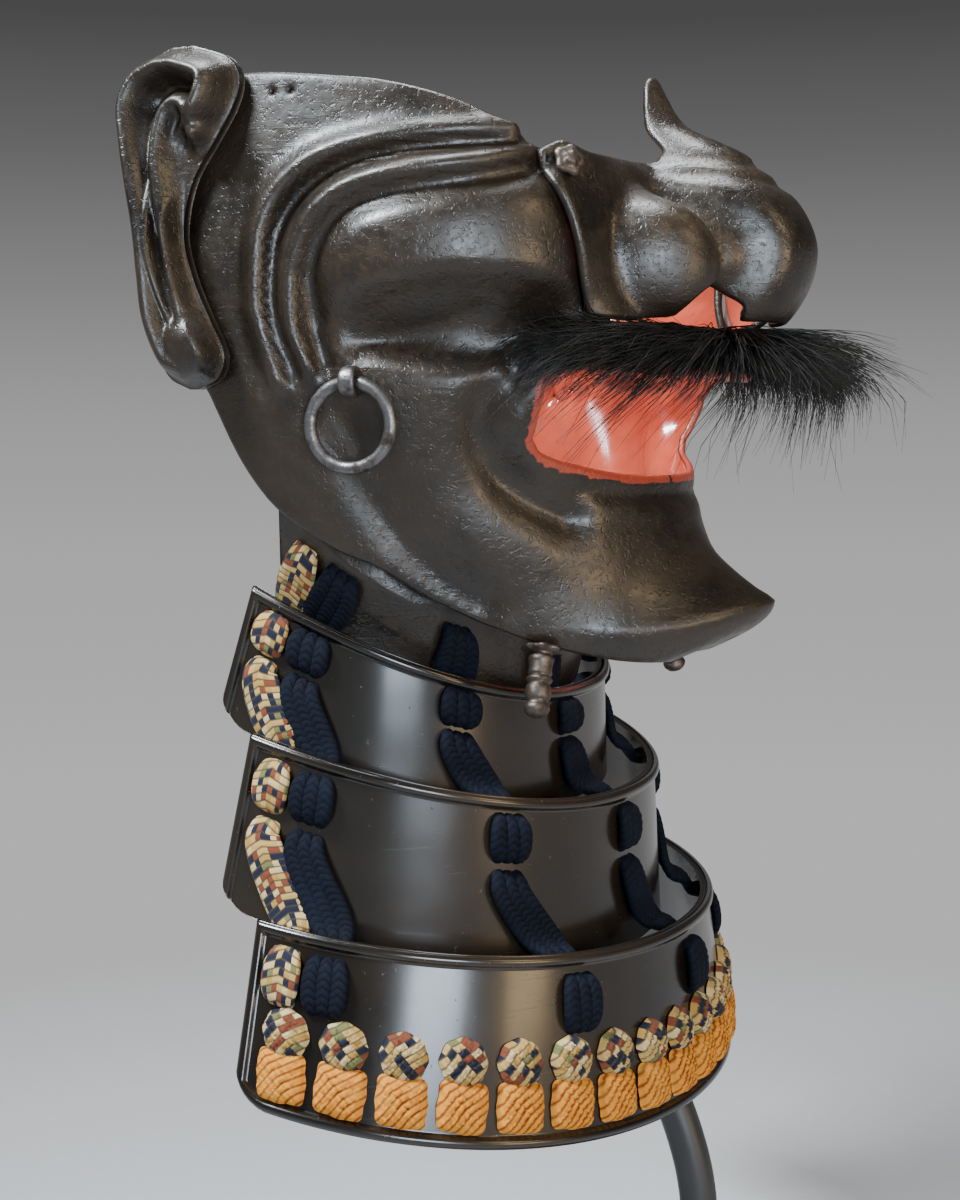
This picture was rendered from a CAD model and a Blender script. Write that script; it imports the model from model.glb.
"""The dressed model of a samurai face guard with its throat guard, on a rod stand.

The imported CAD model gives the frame: metres, +Z up, the face looks along -Y, and +X is the
wearer's left. Sizes below are in millimetres and turn into metres when a mesh is made.
"""

import logging
import math
from dataclasses import dataclass, field
from enum import Enum
from typing import Callable, Sequence

import bpy
import numpy as np
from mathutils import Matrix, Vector
from mathutils.geometry import delaunay_2d_cdt


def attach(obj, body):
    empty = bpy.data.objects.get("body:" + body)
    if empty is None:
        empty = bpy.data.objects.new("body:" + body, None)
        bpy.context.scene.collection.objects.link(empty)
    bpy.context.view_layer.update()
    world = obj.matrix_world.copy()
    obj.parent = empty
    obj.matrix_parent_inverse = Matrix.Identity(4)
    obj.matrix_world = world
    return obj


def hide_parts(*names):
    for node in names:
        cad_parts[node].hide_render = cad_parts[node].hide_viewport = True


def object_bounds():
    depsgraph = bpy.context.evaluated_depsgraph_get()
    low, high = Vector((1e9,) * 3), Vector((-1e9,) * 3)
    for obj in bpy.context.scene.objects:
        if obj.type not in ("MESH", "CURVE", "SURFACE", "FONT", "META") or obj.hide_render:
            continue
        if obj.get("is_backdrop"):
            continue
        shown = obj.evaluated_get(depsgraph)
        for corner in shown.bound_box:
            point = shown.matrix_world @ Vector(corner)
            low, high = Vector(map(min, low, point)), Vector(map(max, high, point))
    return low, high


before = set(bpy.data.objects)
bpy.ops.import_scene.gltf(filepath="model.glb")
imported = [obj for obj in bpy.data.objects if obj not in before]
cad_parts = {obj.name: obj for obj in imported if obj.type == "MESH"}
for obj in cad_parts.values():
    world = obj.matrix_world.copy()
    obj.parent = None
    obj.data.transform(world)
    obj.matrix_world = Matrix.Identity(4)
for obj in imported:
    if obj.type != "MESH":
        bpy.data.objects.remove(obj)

LOG = logging.getLogger("face_guard")
MM = 0.001
Points = np.ndarray
Colour = tuple[float, float, float]
Value = "Sock | float"


class Side(Enum):
    """The wearer's right and left, with the sign of X on each."""

    RIGHT = ("right", -1.0)
    LEFT = ("left", 1.0)

    @property
    def word(self) -> str:
        """The side's name."""
        return self.value[0]

    @property
    def sign(self) -> float:
        """The sign of X on this side."""
        return self.value[1]


# shader expressions


class Sock:
    """One value of a shader, so that maths on it reads as an expression."""

    def __init__(self, shader: "Shader", socket: bpy.types.NodeSocket) -> None:
        """Keeps the shader it belongs to and the output socket."""
        self.shader = shader
        self.socket = socket

    def __add__(self, other: Value) -> "Sock":
        """self + other."""
        return self.shader.math("ADD", self, other)

    __radd__ = __add__

    def __sub__(self, other: Value) -> "Sock":
        """self - other."""
        return self.shader.math("SUBTRACT", self, other)

    def __rsub__(self, other: Value) -> "Sock":
        """other - self."""
        return self.shader.math("SUBTRACT", other, self)

    def __mul__(self, other: Value) -> "Sock":
        """self * other."""
        return self.shader.math("MULTIPLY", self, other)

    __rmul__ = __mul__

    def __truediv__(self, other: Value) -> "Sock":
        """self / other."""
        return self.shader.math("DIVIDE", self, other)

    def __pow__(self, other: Value) -> "Sock":
        """self to the power of other."""
        return self.shader.math("POWER", self, other)


class Shader:
    """A material under construction: its nodes, and short ways to add them."""

    def __init__(self, name: str) -> None:
        """Starts a material with one Principled shader.

        Args:
            name: the material's name.
        """
        self.material = bpy.data.materials.new(name)
        self.material.use_nodes = True
        self.tree = self.material.node_tree
        self.tree.nodes.clear()
        output = self.tree.nodes.new("ShaderNodeOutputMaterial")
        self.surface = self.tree.nodes.new("ShaderNodeBsdfPrincipled")
        self.tree.links.new(self.surface.outputs[0], output.inputs[0])
        self.place = Sock(self, self.node("ShaderNodeTexCoord").outputs["Object"])

    def node(self, kind: str, settings: dict | None = None, inputs: dict | None = None) -> bpy.types.Node:
        """Adds a node.

        Args:
            kind: the node's type.
            settings: its properties, set first; "stops" fills a colour ramp.
            inputs: values or links of its sockets, by name or number.

        Returns:
            The node.
        """
        node = self.tree.nodes.new(kind)
        for key, value in (settings or {}).items():
            if key == "stops":
                self.fill_ramp(node.color_ramp, value)
            else:
                setattr(node, key, value)
        for key, value in (inputs or {}).items():
            self.feed(node.inputs[key], value)
        return node

    def feed(self, socket: bpy.types.NodeSocket, value: object) -> None:
        """Links a value of the shader to a socket, or sets a plain number or colour on it."""
        if isinstance(value, Sock):
            self.tree.links.new(value.socket, socket)
        else:
            socket.default_value = value

    @staticmethod
    def fill_ramp(ramp: bpy.types.ColorRamp, stops: Sequence[tuple[float, Colour]]) -> None:
        """Sets the stops of a colour ramp from (place, colour) pairs."""
        while len(ramp.elements) < len(stops):
            ramp.elements.new(1.0)
        for element, (place, colour) in zip(ramp.elements, stops):
            element.position = place
            element.color = (*colour, 1.0)

    def math(self, operation: str, *values: Value) -> Sock:
        """A Math node's result on one or more values."""
        inputs = dict(enumerate(values))
        return Sock(self, self.node("ShaderNodeMath", {"operation": operation}, inputs).outputs[0])

    def noise(self, scale: float, detail: float = 4.0, stretch: tuple | None = None) -> Sock:
        """Noise over the piece's own place, 0 to 1; stretch scales the three axes."""
        place = self.place
        if stretch:
            mapped = self.node("ShaderNodeMapping", {}, {"Vector": place, "Scale": stretch})
            place = Sock(self, mapped.outputs[0])
        inputs = {"Vector": place, "Scale": scale, "Detail": detail, "Roughness": 0.6}
        return Sock(self, self.node("ShaderNodeTexNoise", {}, inputs).outputs[0])

    def ramp(self, factor: Sock, stops: Sequence[tuple[float, Colour]], stepped: bool = False) -> Sock:
        """A colour ramp of (place, colour) stops over a factor."""
        node = self.node("ShaderNodeValToRGB", {"stops": stops}, {0: factor})
        node.color_ramp.interpolation = "CONSTANT" if stepped else "LINEAR"
        return Sock(self, node.outputs[0])

    def mix(self, factor: Value, first: object, second: object) -> Sock:
        """A mix of two colours."""
        node = self.node("ShaderNodeMix", {"data_type": "RGBA"}, {0: factor})
        for index, colour in ((6, first), (7, second)):
            self.feed(node.inputs[index], colour if isinstance(colour, Sock) else (*colour, 1.0))
        return Sock(self, node.outputs[2])

    def between(self, value: Sock, low: float, high: float, to_low: float = 0.0,
                to_high: float = 1.0) -> Sock:
        """A value mapped from one range to another and held at its ends."""
        inputs = {"Value": value, "From Min": low, "From Max": high, "To Min": to_low, "To Max": to_high}
        return Sock(self, self.node("ShaderNodeMapRange", {"clamp": True}, inputs).outputs[0])

    def bump(self, height: Sock, distance: float, strength: float = 1.0,
             under: "Sock | None" = None) -> Sock:
        """A bumped normal, on top of another where one is given."""
        inputs = {"Height": height, "Distance": distance, "Strength": strength}
        if under:
            inputs["Normal"] = under
        return Sock(self, self.node("ShaderNodeBump", {}, inputs).outputs[0])

    def finish(self, **sockets: object) -> bpy.types.Material:
        """Feeds the Principled shader's sockets, named with _ for spaces, and gives the material."""
        for name, value in sockets.items():
            key = name.replace("_", " ").title().replace("Ior", "IOR")
            self.feed(self.surface.inputs[key], value)
        return self.material


# finishes


@dataclass(frozen=True)
class RussetIron:
    """Hammered iron under thin brown lacquer, mottled, pitted and finely scratched."""

    name: str = "russet_iron"
    dark: Colour = (0.006, 0.0042, 0.0028)
    brown: Colour = (0.021, 0.0135, 0.0075)
    golden: Colour = (0.07, 0.04, 0.015)
    worn_red: Colour = (0.34, 0.045, 0.02)

    def make(self) -> bpy.types.Material:
        """Builds the material."""
        s = Shader(self.name)
        cloud = s.noise(38.0, 6.0)
        fine = s.noise(420.0, 5.0)
        base = s.ramp(cloud, [(0.34, self.dark), (0.55, self.brown), (0.78, self.dark)])
        rust = s.between(s.noise(17.0, 7.0), 0.55, 0.72) * s.between(fine, 0.42, 0.62)
        base = s.mix(rust * 0.6, base, self.golden)
        scratch = s.between(s.noise(240.0, 3.0, (1.0, 0.16, 2.6)), 0.55, 0.75)
        pits = s.between(s.noise(900.0, 2.0), 0.3, 0.46)
        mark = s.node("ShaderNodeAttribute", {"attribute_name": "red"}).outputs["Fac"]
        rubbed = s.between(Sock(s, mark) + 0.5 * fine, 0.62, 0.8)
        base = s.mix(rubbed, base, self.worn_red)
        rough = 0.27 + 0.12 * s.between(cloud, 0.35, 0.7)
        rough = rough + 0.12 * s.between(fine, 0.35, 0.65) - 0.06 * scratch
        relief = s.bump(s.noise(95.0, 3.0), 0.0011, 0.32)
        relief = s.bump(pits, 0.00012, 0.55, relief)
        relief = s.bump(scratch, 0.00008, 0.5, relief)
        return s.finish(base_color=base, roughness=rough, metallic=0.1, normal=relief,
                        specular_ior_level=0.6, coat_weight=0.08, coat_roughness=0.25)


@dataclass(frozen=True)
class VermilionLacquer:
    """The glossy red lacquer of the inside, darker where it is thin."""

    name: str = "vermilion_lacquer"
    bright: Colour = (0.56, 0.1, 0.05)
    deep: Colour = (0.33, 0.035, 0.018)
    rubbed: Colour = (0.06, 0.02, 0.015)

    def make(self) -> bpy.types.Material:
        """Builds the material."""
        s = Shader(self.name)
        cloud = s.noise(30.0, 5.0)
        worn = s.between(s.noise(190.0, 6.0), 0.6, 0.7)
        base = s.mix(s.between(cloud, 0.35, 0.7), self.deep, self.bright)
        base = s.mix(worn * 0.5, base, self.rubbed)
        rough = 0.16 + 0.14 * s.between(cloud, 0.4, 0.8) + 0.3 * worn
        relief = s.bump(s.noise(60.0, 2.0), 0.0012, 0.3)
        return s.finish(base_color=base, roughness=rough, normal=relief,
                        coat_weight=0.5, coat_roughness=0.08)


@dataclass(frozen=True)
class BlackLacquer:
    """Deep black-brown lacquer of the throat guard's plates."""

    name: str = "black_lacquer"
    black: Colour = (0.006, 0.005, 0.004)
    brown: Colour = (0.026, 0.016, 0.009)
    dust: Colour = (0.2, 0.17, 0.13)

    def make(self) -> bpy.types.Material:
        """Builds the material."""
        s = Shader(self.name)
        cloud = s.noise(14.0, 3.0)
        specks = s.between(s.noise(800.0, 2.0), 0.71, 0.76)
        hairline = s.between(s.noise(300.0, 2.0, (0.12, 0.12, 3.0)), 0.66, 0.74)
        base = s.mix(s.between(cloud, 0.4, 0.75), self.black, self.brown)
        base = s.mix(specks * 0.12, base, self.dust)
        rough = 0.2 + 0.09 * s.between(s.noise(26.0, 6.0), 0.35, 0.75)
        rough = rough + 0.12 * specks + 0.06 * hairline
        relief = s.bump(s.noise(34.0, 2.0), 0.0012, 0.18)
        relief = s.bump(specks, 0.00006, 0.5, relief)
        return s.finish(base_color=base, roughness=rough, normal=relief,
                        coat_weight=0.3, coat_roughness=0.14)


@dataclass(frozen=True)
class WornSteel:
    """Bare wrought fittings, grey where rubbed and brown in the hollows."""

    name: str = "worn_steel"
    bright: Colour = (0.17, 0.165, 0.165)
    dark: Colour = (0.045, 0.034, 0.028)
    rough: float = 0.34

    def make(self) -> bpy.types.Material:
        """Builds the material."""
        s = Shader(self.name)
        rust = s.between(s.noise(330.0, 6.0), 0.45, 0.66)
        rubbed = s.noise(900.0, 3.0)
        base = s.mix(rust, self.bright, self.dark)
        rough = self.rough + 0.22 * rust + 0.1 * rubbed
        relief = s.bump(s.noise(1100.0, 4.0), 0.00018, 0.6)
        return s.finish(base_color=base, roughness=rough, metallic=0.92, normal=relief)


@dataclass(frozen=True)
class Horsehair:
    """Coarse black horsehair."""

    name: str = "horsehair"
    black: Colour = (0.004, 0.004, 0.004)
    brown: Colour = (0.02, 0.017, 0.014)

    def make(self) -> bpy.types.Material:
        """Builds the material."""
        s = Shader(self.name)
        base = s.mix(s.between(s.noise(260.0, 2.0), 0.4, 0.7), self.black, self.brown)
        return s.finish(base_color=base, roughness=0.5 + 0.12 * s.noise(500.0), specular_ior_level=0.35)


@dataclass(frozen=True)
class KnittedCord:
    """Silk cord of one colour, darker between its stitches."""

    name: str
    light: Colour
    dark: Colour
    odd: Colour

    def make(self) -> bpy.types.Material:
        """Builds the material."""
        s = Shader(self.name)
        along, across = CordWeave.coordinates(s)
        groove = CordWeave.groove(s, along, across)
        strands = s.noise(2600.0, 2.0)
        base = s.mix(s.between(groove, 0.1, 0.75), self.dark, self.light)
        base = s.mix(s.between(s.noise(120.0, 3.0), 0.5, 0.75) * 0.5, base, self.odd)
        relief = s.bump(strands, 0.0002, 0.7)
        return s.finish(base_color=base, roughness=0.72 + 0.2 * strands, normal=relief,
                        specular_ior_level=0.15)


@dataclass(frozen=True)
class SpeckledBraid:
    """Cream braid with dark blue, rust and olive stitches among its own."""

    name: str = "speckled_braid"
    columns: float = 3.5
    shadow: Colour = (0.05, 0.035, 0.02)
    yarns: tuple = (
        (0.0, (0.42, 0.27, 0.09)),
        (0.26, (0.52, 0.38, 0.18)),
        (0.44, (0.008, 0.01, 0.024)),
        (0.7, (0.36, 0.21, 0.05)),
        (0.8, (0.17, 0.042, 0.018)),
        (0.94, (0.14, 0.14, 0.05)),
    )

    def make(self) -> bpy.types.Material:
        """Builds the material, with one yarn drawn for each stitch."""
        s = Shader(self.name)
        along, across = CordWeave.coordinates(s)
        groove = CordWeave.groove(s, along, across)
        row = s.math("FLOOR", along - CordWeave.SLANT * s.math("ABSOLUTE", across))
        column = s.math("FLOOR", across * self.columns)
        seed = s.node("ShaderNodeCombineXYZ", {}, {0: row * 7.31, 1: column * 3.17, 2: 0.5})
        stitch = s.node("ShaderNodeTexWhiteNoise", {"noise_dimensions": "3D"},
                        {"Vector": Sock(s, seed.outputs[0])})
        base = s.ramp(Sock(s, stitch.outputs[0]), self.yarns, stepped=True)
        base = s.mix(s.between(groove, 0.0, 0.6), self.shadow, base)
        relief = s.bump(s.noise(2600.0, 2.0), 0.0002, 0.7)
        return s.finish(base_color=base, roughness=0.86, normal=relief,
                        specular_ior_level=0.25, sheen_weight=0.05)


@dataclass(frozen=True)
class StandPaint:
    """Satin black paint on the stand."""

    name: str = "stand_paint"
    dark: Colour = (0.012, 0.012, 0.013)
    light: Colour = (0.03, 0.029, 0.029)

    def make(self) -> bpy.types.Material:
        """Builds the material."""
        s = Shader(self.name)
        cloud = s.noise(70.0, 5.0)
        base = s.mix(cloud, self.dark, self.light)
        relief = s.bump(s.noise(1500.0, 3.0), 0.00008, 0.5)
        return s.finish(base_color=base, roughness=0.34 + 0.16 * cloud, normal=relief)


class CordWeave:
    """The slanting stitches of a knitted cord, the same in its mesh and in its colours."""

    SLANT = 0.85
    PITCH = 1.55
    SEAM_DEPTH = 0.75
    SEAM_HALF = 0.14
    UV_STITCHES = 100.0

    @staticmethod
    def coordinates(s: Shader) -> tuple[Sock, Sock]:
        """The number of stitches along the cord, and the place across it, -1 to 1."""
        uv = s.node("ShaderNodeUVMap", {"uv_map": "cord"})
        parts = s.node("ShaderNodeSeparateXYZ", {}, {0: Sock(s, uv.outputs[0])})
        return Sock(s, parts.outputs[0]) * CordWeave.UV_STITCHES, Sock(s, parts.outputs[1]) * 2.0 - 1.0

    @classmethod
    def groove(cls, s: Shader, along: Sock, across: Sock) -> Sock:
        """0 between two stitches and 1 on top of one."""
        phase = s.math("FRACT", along - cls.SLANT * s.math("ABSOLUTE", across))
        return s.math("SINE", phase * math.pi)

    @classmethod
    def relief(cls, along: Points, across: Points) -> Points:
        """The same stitches as a height, 0 to 1, with the line down the cord's middle."""
        phase = along - cls.SLANT * np.abs(across)
        ridge = np.sqrt(np.abs(np.sin(np.pi * phase)))
        return ridge * (1.0 - cls.SEAM_DEPTH * np.exp(-((across / cls.SEAM_HALF) ** 2)))


# meshes


@dataclass
class Surface:
    """Points, faces and, where a finish needs them, marks on the points of one piece."""

    points: Points
    faces: list[Points]
    layer: list[int] = field(default_factory=list)
    cord: Points | None = None
    red: Points | None = None

    def __post_init__(self) -> None:
        """Gives every group of faces the first finish unless told otherwise."""
        if not self.layer:
            self.layer = [0] * len(self.faces)

    def moved(self, place: Points) -> "Surface":
        """The same surface under a 4 x 4 placement."""
        points = self.points @ place[:3, :3].T + place[:3, 3]
        return Surface(points, self.faces, list(self.layer), self.cord, self.red)

    @staticmethod
    def together(parts: Sequence["Surface"]) -> "Surface":
        """Several surfaces as one."""
        faces, layer, start = [], [], 0
        for part in parts:
            faces += [group + start for group in part.faces]
            layer += part.layer
            start += len(part.points)
        cord = red = None
        if parts[0].cord is not None:
            cord = np.concatenate([part.cord for part in parts])
        if parts[0].red is not None:
            red = np.concatenate([part.red for part in parts])
        return Surface(np.concatenate([part.points for part in parts]), faces, layer, cord, red)

    def piece(self, name: str, finishes: Sequence[bpy.types.Material]) -> bpy.types.Object:
        """Makes the Blender object.

        Args:
            name: the piece's name.
            finishes: its materials, in the order that the layers count them.

        Returns:
            The object, linked to the scene.
        """
        mesh = bpy.data.meshes.new(name)
        corners = np.concatenate([group.ravel() for group in self.faces]).astype(np.int32)
        sizes = np.concatenate([np.full(len(group), group.shape[1]) for group in self.faces])
        starts = np.concatenate([[0], np.cumsum(sizes)[:-1]]).astype(np.int32)
        layer = np.concatenate([np.full(len(g), k) for g, k in zip(self.faces, self.layer)])
        mesh.vertices.add(len(self.points))
        mesh.vertices.foreach_set("co", (self.points * MM).astype(np.float32).ravel())
        mesh.loops.add(len(corners))
        mesh.loops.foreach_set("vertex_index", corners)
        mesh.polygons.add(len(sizes))
        mesh.polygons.foreach_set("loop_start", starts)
        mesh.polygons.foreach_set("use_smooth", np.ones(len(sizes), dtype=bool))
        for finish in finishes:
            mesh.materials.append(finish)
        mesh.polygons.foreach_set("material_index", layer.astype(np.int32))
        if self.cord is not None:
            marks = mesh.uv_layers.new(name="cord")
            marks.data.foreach_set("uv", self.cord[corners].astype(np.float32).ravel())
        if self.red is not None:
            mark = mesh.attributes.new("red", "FLOAT", "POINT")
            mark.data.foreach_set("value", self.red.astype(np.float32))
        mesh.update(calc_edges=True)
        mesh.validate()
        made = bpy.data.objects.new(name, mesh)
        bpy.context.scene.collection.objects.link(made)
        return made


def grid_faces(rows: int, columns: int, round_rows: bool = False, round_columns: bool = False) -> Points:
    """Corners of the four-sided faces of a grid of points, row by row."""
    i = np.arange(rows if round_rows else rows - 1)[:, None]
    j = np.arange(columns if round_columns else columns - 1)[None, :]
    i2, j2 = (i + 1) % rows, (j + 1) % columns
    square = [i * columns + j, i2 * columns + j, i2 * columns + j2, i * columns + j2]
    return np.stack([corner + 0 * (i + j) for corner in square], -1).reshape(-1, 4)


def slab(outer: Points, inner: Points, edge: Points | None = None, layers: tuple = (0, 0, 0)) -> Surface:
    """A sheet between two grids of points, its four edges closed.

    Args:
        outer: points of the outer face, rows by columns by 3.
        inner: points of the inner face in the same order.
        edge: points half way round the edge, taken from this grid's border, if it is rounded.
        layers: finishes of the outer face, the inner face and the edge.

    Returns:
        The closed surface.
    """
    rows, columns = outer.shape[:2]
    count = rows * columns
    top = grid_faces(rows, columns)
    border = np.concatenate([
        np.arange(columns),
        np.arange(2, rows) * columns - 1,
        count - 1 - np.arange(columns),
        np.arange(rows - 2, 0, -1) * columns,
    ])
    loops = [border, border + count]
    points = [outer.reshape(-1, 3), inner.reshape(-1, 3)]
    if edge is not None:
        points.append(edge.reshape(-1, 3)[border])
        loops.insert(1, np.arange(len(border)) + 2 * count)
    sides = [np.stack([a, np.roll(a, -1), np.roll(b, -1), b], -1) for a, b in zip(loops, loops[1:])]
    faces = [top, top[:, ::-1] + count, np.concatenate(sides)[:, ::-1]]
    return Surface(np.concatenate(points), faces, list(layers))


def unit(v: Points) -> Points:
    """Vectors scaled to length 1."""
    return v / np.maximum(np.linalg.norm(v, axis=-1, keepdims=True), 1e-9)


def ribbon(path: Points, side: Points, section: Callable[[Points, Points], tuple[Points, Points]],
           around: int, closed: bool = False) -> Surface:
    """A skin along a path.

    Args:
        path: points of the path.
        side: the section's level direction at each point.
        section: gives the offsets along the side and along the face for a share of the
            path's length and a turn round the section.
        around: points round the section.
        closed: whether the path ends where it starts.

    Returns:
        The surface, its ends closed by a point each when the path is open.
    """
    step = np.roll(path, -1, 0) - np.roll(path, 1, 0) if closed else np.gradient(path, axis=0)
    ahead = unit(step)
    side = unit(side - ahead * np.sum(side * ahead, -1, keepdims=True))
    face = np.cross(side, ahead)
    share = np.linspace(0, 1, len(path))[:, None]
    turn = np.linspace(0, 2 * math.pi, around, endpoint=False)[None, :]
    across, out = section(share, turn)
    grid = path[:, None] + side[:, None] * across[..., None] + face[:, None] * out[..., None]
    faces = [grid_faces(len(path), around, closed, True)]
    points = grid.reshape(-1, 3)
    if not closed:
        count = len(points)
        points = np.concatenate([points, path[:1], path[-1:]])
        j = np.arange(around)
        k = (j + 1) % around
        first = np.stack([np.full(around, count), j, k], -1)
        last = np.stack([np.full(around, count + 1), count - around + k, count - around + j], -1)
        faces.append(np.concatenate([first, last]))
    return Surface(points, faces)


def lathe(profile: Sequence[tuple[float, float]], around: int, lobes: int = 0,
          wave: float = 0.0) -> Surface:
    """A turned form about Z from (radius, height) pairs; lobes ripple its radius."""
    pairs = np.array(profile, dtype=float)
    turn = np.linspace(0, 2 * math.pi, around, endpoint=False)
    ripple = 1 + wave * np.cos(lobes * turn)
    x = pairs[:, :1] * ripple * np.cos(turn)
    y = pairs[:, :1] * ripple * np.sin(turn)
    z = pairs[:, 1:] + 0 * x
    return Surface(np.stack([x, y, z], -1).reshape(-1, 3), [grid_faces(len(pairs), around, False, True)])


def rounded_box(half: tuple[float, float, float], radius: float) -> Surface:
    """A box with rounded edges, from a sphere's points pushed out to its corners."""
    tilt = np.linspace(-math.pi / 2, math.pi / 2, 17)
    turn = np.linspace(0, 2 * math.pi, 32, endpoint=False) + math.pi / 32
    x = np.cos(tilt)[:, None] * np.cos(turn)
    y = np.cos(tilt)[:, None] * np.sin(turn)
    z = np.sin(tilt)[:, None] + 0 * turn
    ball = np.stack([x, y, z], -1)
    core = np.array(half) - radius
    points = ball * radius + np.where(np.abs(ball) < 1e-6, 0, np.sign(ball)) * core
    return Surface(points.reshape(-1, 3), [grid_faces(17, 32, False, True)])


def basis(x: Points, y: Points, z: Points, spot: Points) -> Points:
    """A 4 x 4 placement from three directions and a spot."""
    place = np.eye(4)
    place[:3, 0], place[:3, 1], place[:3, 2], place[:3, 3] = x, y, z, spot
    return place


def curve(points: Sequence[Sequence[float]], count: int) -> Points:
    """Points evenly along a smooth curve through the given points."""
    p = np.array(points, dtype=float)
    p = np.concatenate([2 * p[:1] - p[1:2], p, 2 * p[-1:] - p[-2:-1]])
    t = np.linspace(0, 1, 12, endpoint=False)[:, None, None]
    a, b, c, d = p[:-3], p[1:-2], p[2:-1], p[3:]
    square, cube = 2 * a - 5 * b + 4 * c - d, 3 * b - a - 3 * c + d
    spots = 0.5 * (2 * b + (c - a) * t + square * t**2 + cube * t**3)
    dense = np.concatenate([spots.transpose(1, 0, 2).reshape(-1, p.shape[1]), p[-2:-1]])
    return evenly(dense, count)


def evenly(line: Points, count: int) -> Points:
    """A line's points set at equal distances."""
    run = np.concatenate([[0], np.cumsum(np.linalg.norm(np.diff(line, axis=0), axis=1))])
    wanted = np.linspace(0, run[-1], count)
    return np.stack([np.interp(wanted, run, line[:, k]) for k in range(line.shape[1])], -1)


def distance_to(points: Points, line: Points) -> Points:
    """Distance from each point of the plane to a drawn line."""
    best = np.full(points.shape[:-1], np.inf)
    for a, b in zip(line[:-1], line[1:]):
        run = b - a
        t = np.clip(((points - a) @ run) / max(run @ run, 1e-12), 0, 1)
        best = np.minimum(best, np.linalg.norm(points - a - t[..., None] * run, axis=-1))
    return best


def inside(points: Points, outline: Points) -> Points:
    """Which points of the plane lie inside a closed outline."""
    found = np.zeros(len(points), dtype=bool)
    x, y = points[:, 0], points[:, 1]
    for a, b in zip(outline, np.roll(outline, -1, 0)):
        crosses = (a[1] > y) != (b[1] > y)
        with np.errstate(divide="ignore", invalid="ignore"):
            at = a[0] + (y - a[1]) * (b[0] - a[0]) / (b[1] - a[1])
        found ^= crosses & (x < at)
    return found


def smooth(x: Points, low: float, high: float) -> Points:
    """0 below low, 1 above high, and a soft step between."""
    t = np.clip((np.asarray(x, dtype=float) - low) / (high - low), 0, 1)
    return t * t * (3 - 2 * t)


class Table:
    """Rows of numbers under named columns, read as smooth curves over the first column."""

    def __init__(self, columns: str, *rows: tuple) -> None:
        """Keeps the rows.

        Args:
            columns: the columns' names, with a space between.
            rows: a tuple of numbers for each row.
        """
        values = np.array(rows, dtype=float).T
        self.over = values[0]
        self.columns = dict(zip(columns.split(), values))

    def at(self, column: str, x: Points | float) -> Points:
        """A column's value where the first column is x."""
        xs, ys = self.over, self.columns[column]
        before = np.maximum(np.arange(len(xs)) - 1, 0)
        after = np.minimum(np.arange(len(xs)) + 1, len(xs) - 1)
        slope = (ys[after] - ys[before]) / (xs[after] - xs[before])
        x = np.asarray(x, dtype=float)
        i = np.searchsorted(xs[1:-1], x, side="left")
        span = xs[i + 1] - xs[i]
        t = np.clip((x - xs[i]) / span, 0, 1)
        t2, t3 = t * t, t * t * t
        start = (2 * t3 - 3 * t2 + 1) * ys[i] + (t3 - 2 * t2 + t) * span * slope[i]
        return start + (3 * t2 - 2 * t3) * ys[i + 1] + (t3 - t2) * span * slope[i + 1]


# the face's form


# millimetres, but for heights and angles: shares of FACE_HEIGHT, and degrees off the front
AXIS_BACK = 55.0
LIFT = 182.0
FACE_HEIGHT = 128.0
FACE_HALF = 78.0
FACE_DEPTH = 104.0
WALL = 2.0
LAP = 1.2
SHEET_RADIUS = 78.0
FACE_REAR = 88.0
NOSE_NOTCH = 0.598
NOSE_FOOT = 0.618
NOSE_HEIGHT = 58.0
RIDGE_HALF = 18.5
RIDGE_RISE = 25.0
WING_ANGLE = 18.0
WING_MIDDLE = 0.717
WING_RADIUS = 14.0
WING_RISE = 13.0
CREASE_DEPTH = 3.4
CREASE_HALF = 3.0
PIN_ANGLE = 35.0
PIN_LEVEL = 0.853
PIN_HOLE = 1.9

FACE_SECTIONS = Table(
    "height half depth round",
    (0.0, 0.603, 0.558, 2.0), (0.016, 0.64, 0.712, 1.9), (0.047, 0.69, 0.865, 1.75),
    (0.086, 0.73, 0.96, 1.65), (0.129, 0.776, 0.996, 1.6), (0.148, 0.795, 0.957, 1.65),
    (0.18, 0.82, 0.9, 1.75), (0.219, 0.846, 0.843, 1.9), (0.273, 0.885, 0.8, 2.05),
    (0.328, 0.917, 0.755, 2.2), (0.375, 0.936, 0.762, 2.25), (0.461, 0.96, 0.846, 2.2),
    (0.5, 0.968, 0.894, 2.15), (0.578, 0.98, 0.885, 2.15), (0.695, 1.0, 0.846, 2.2),
    (0.852, 0.98, 0.827, 2.3), (1.0, 0.936, 0.808, 2.4),
)
FACE_EDGES = Table(
    "angle low top",
    (0, 0.016, 0.87), (20, 0.038, 0.87), (33, 0.074, 0.872), (37, 0.091, 0.874), (43, 0.12, 0.918),
    (51, 0.157, 0.954), (60, 0.206, 0.979), (67, 0.234, 0.988), (76, 0.29, 0.998), (80, 0.331, 1.0),
    (84, 0.397, 1.0), (88, 0.49, 1.0),
)
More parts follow.
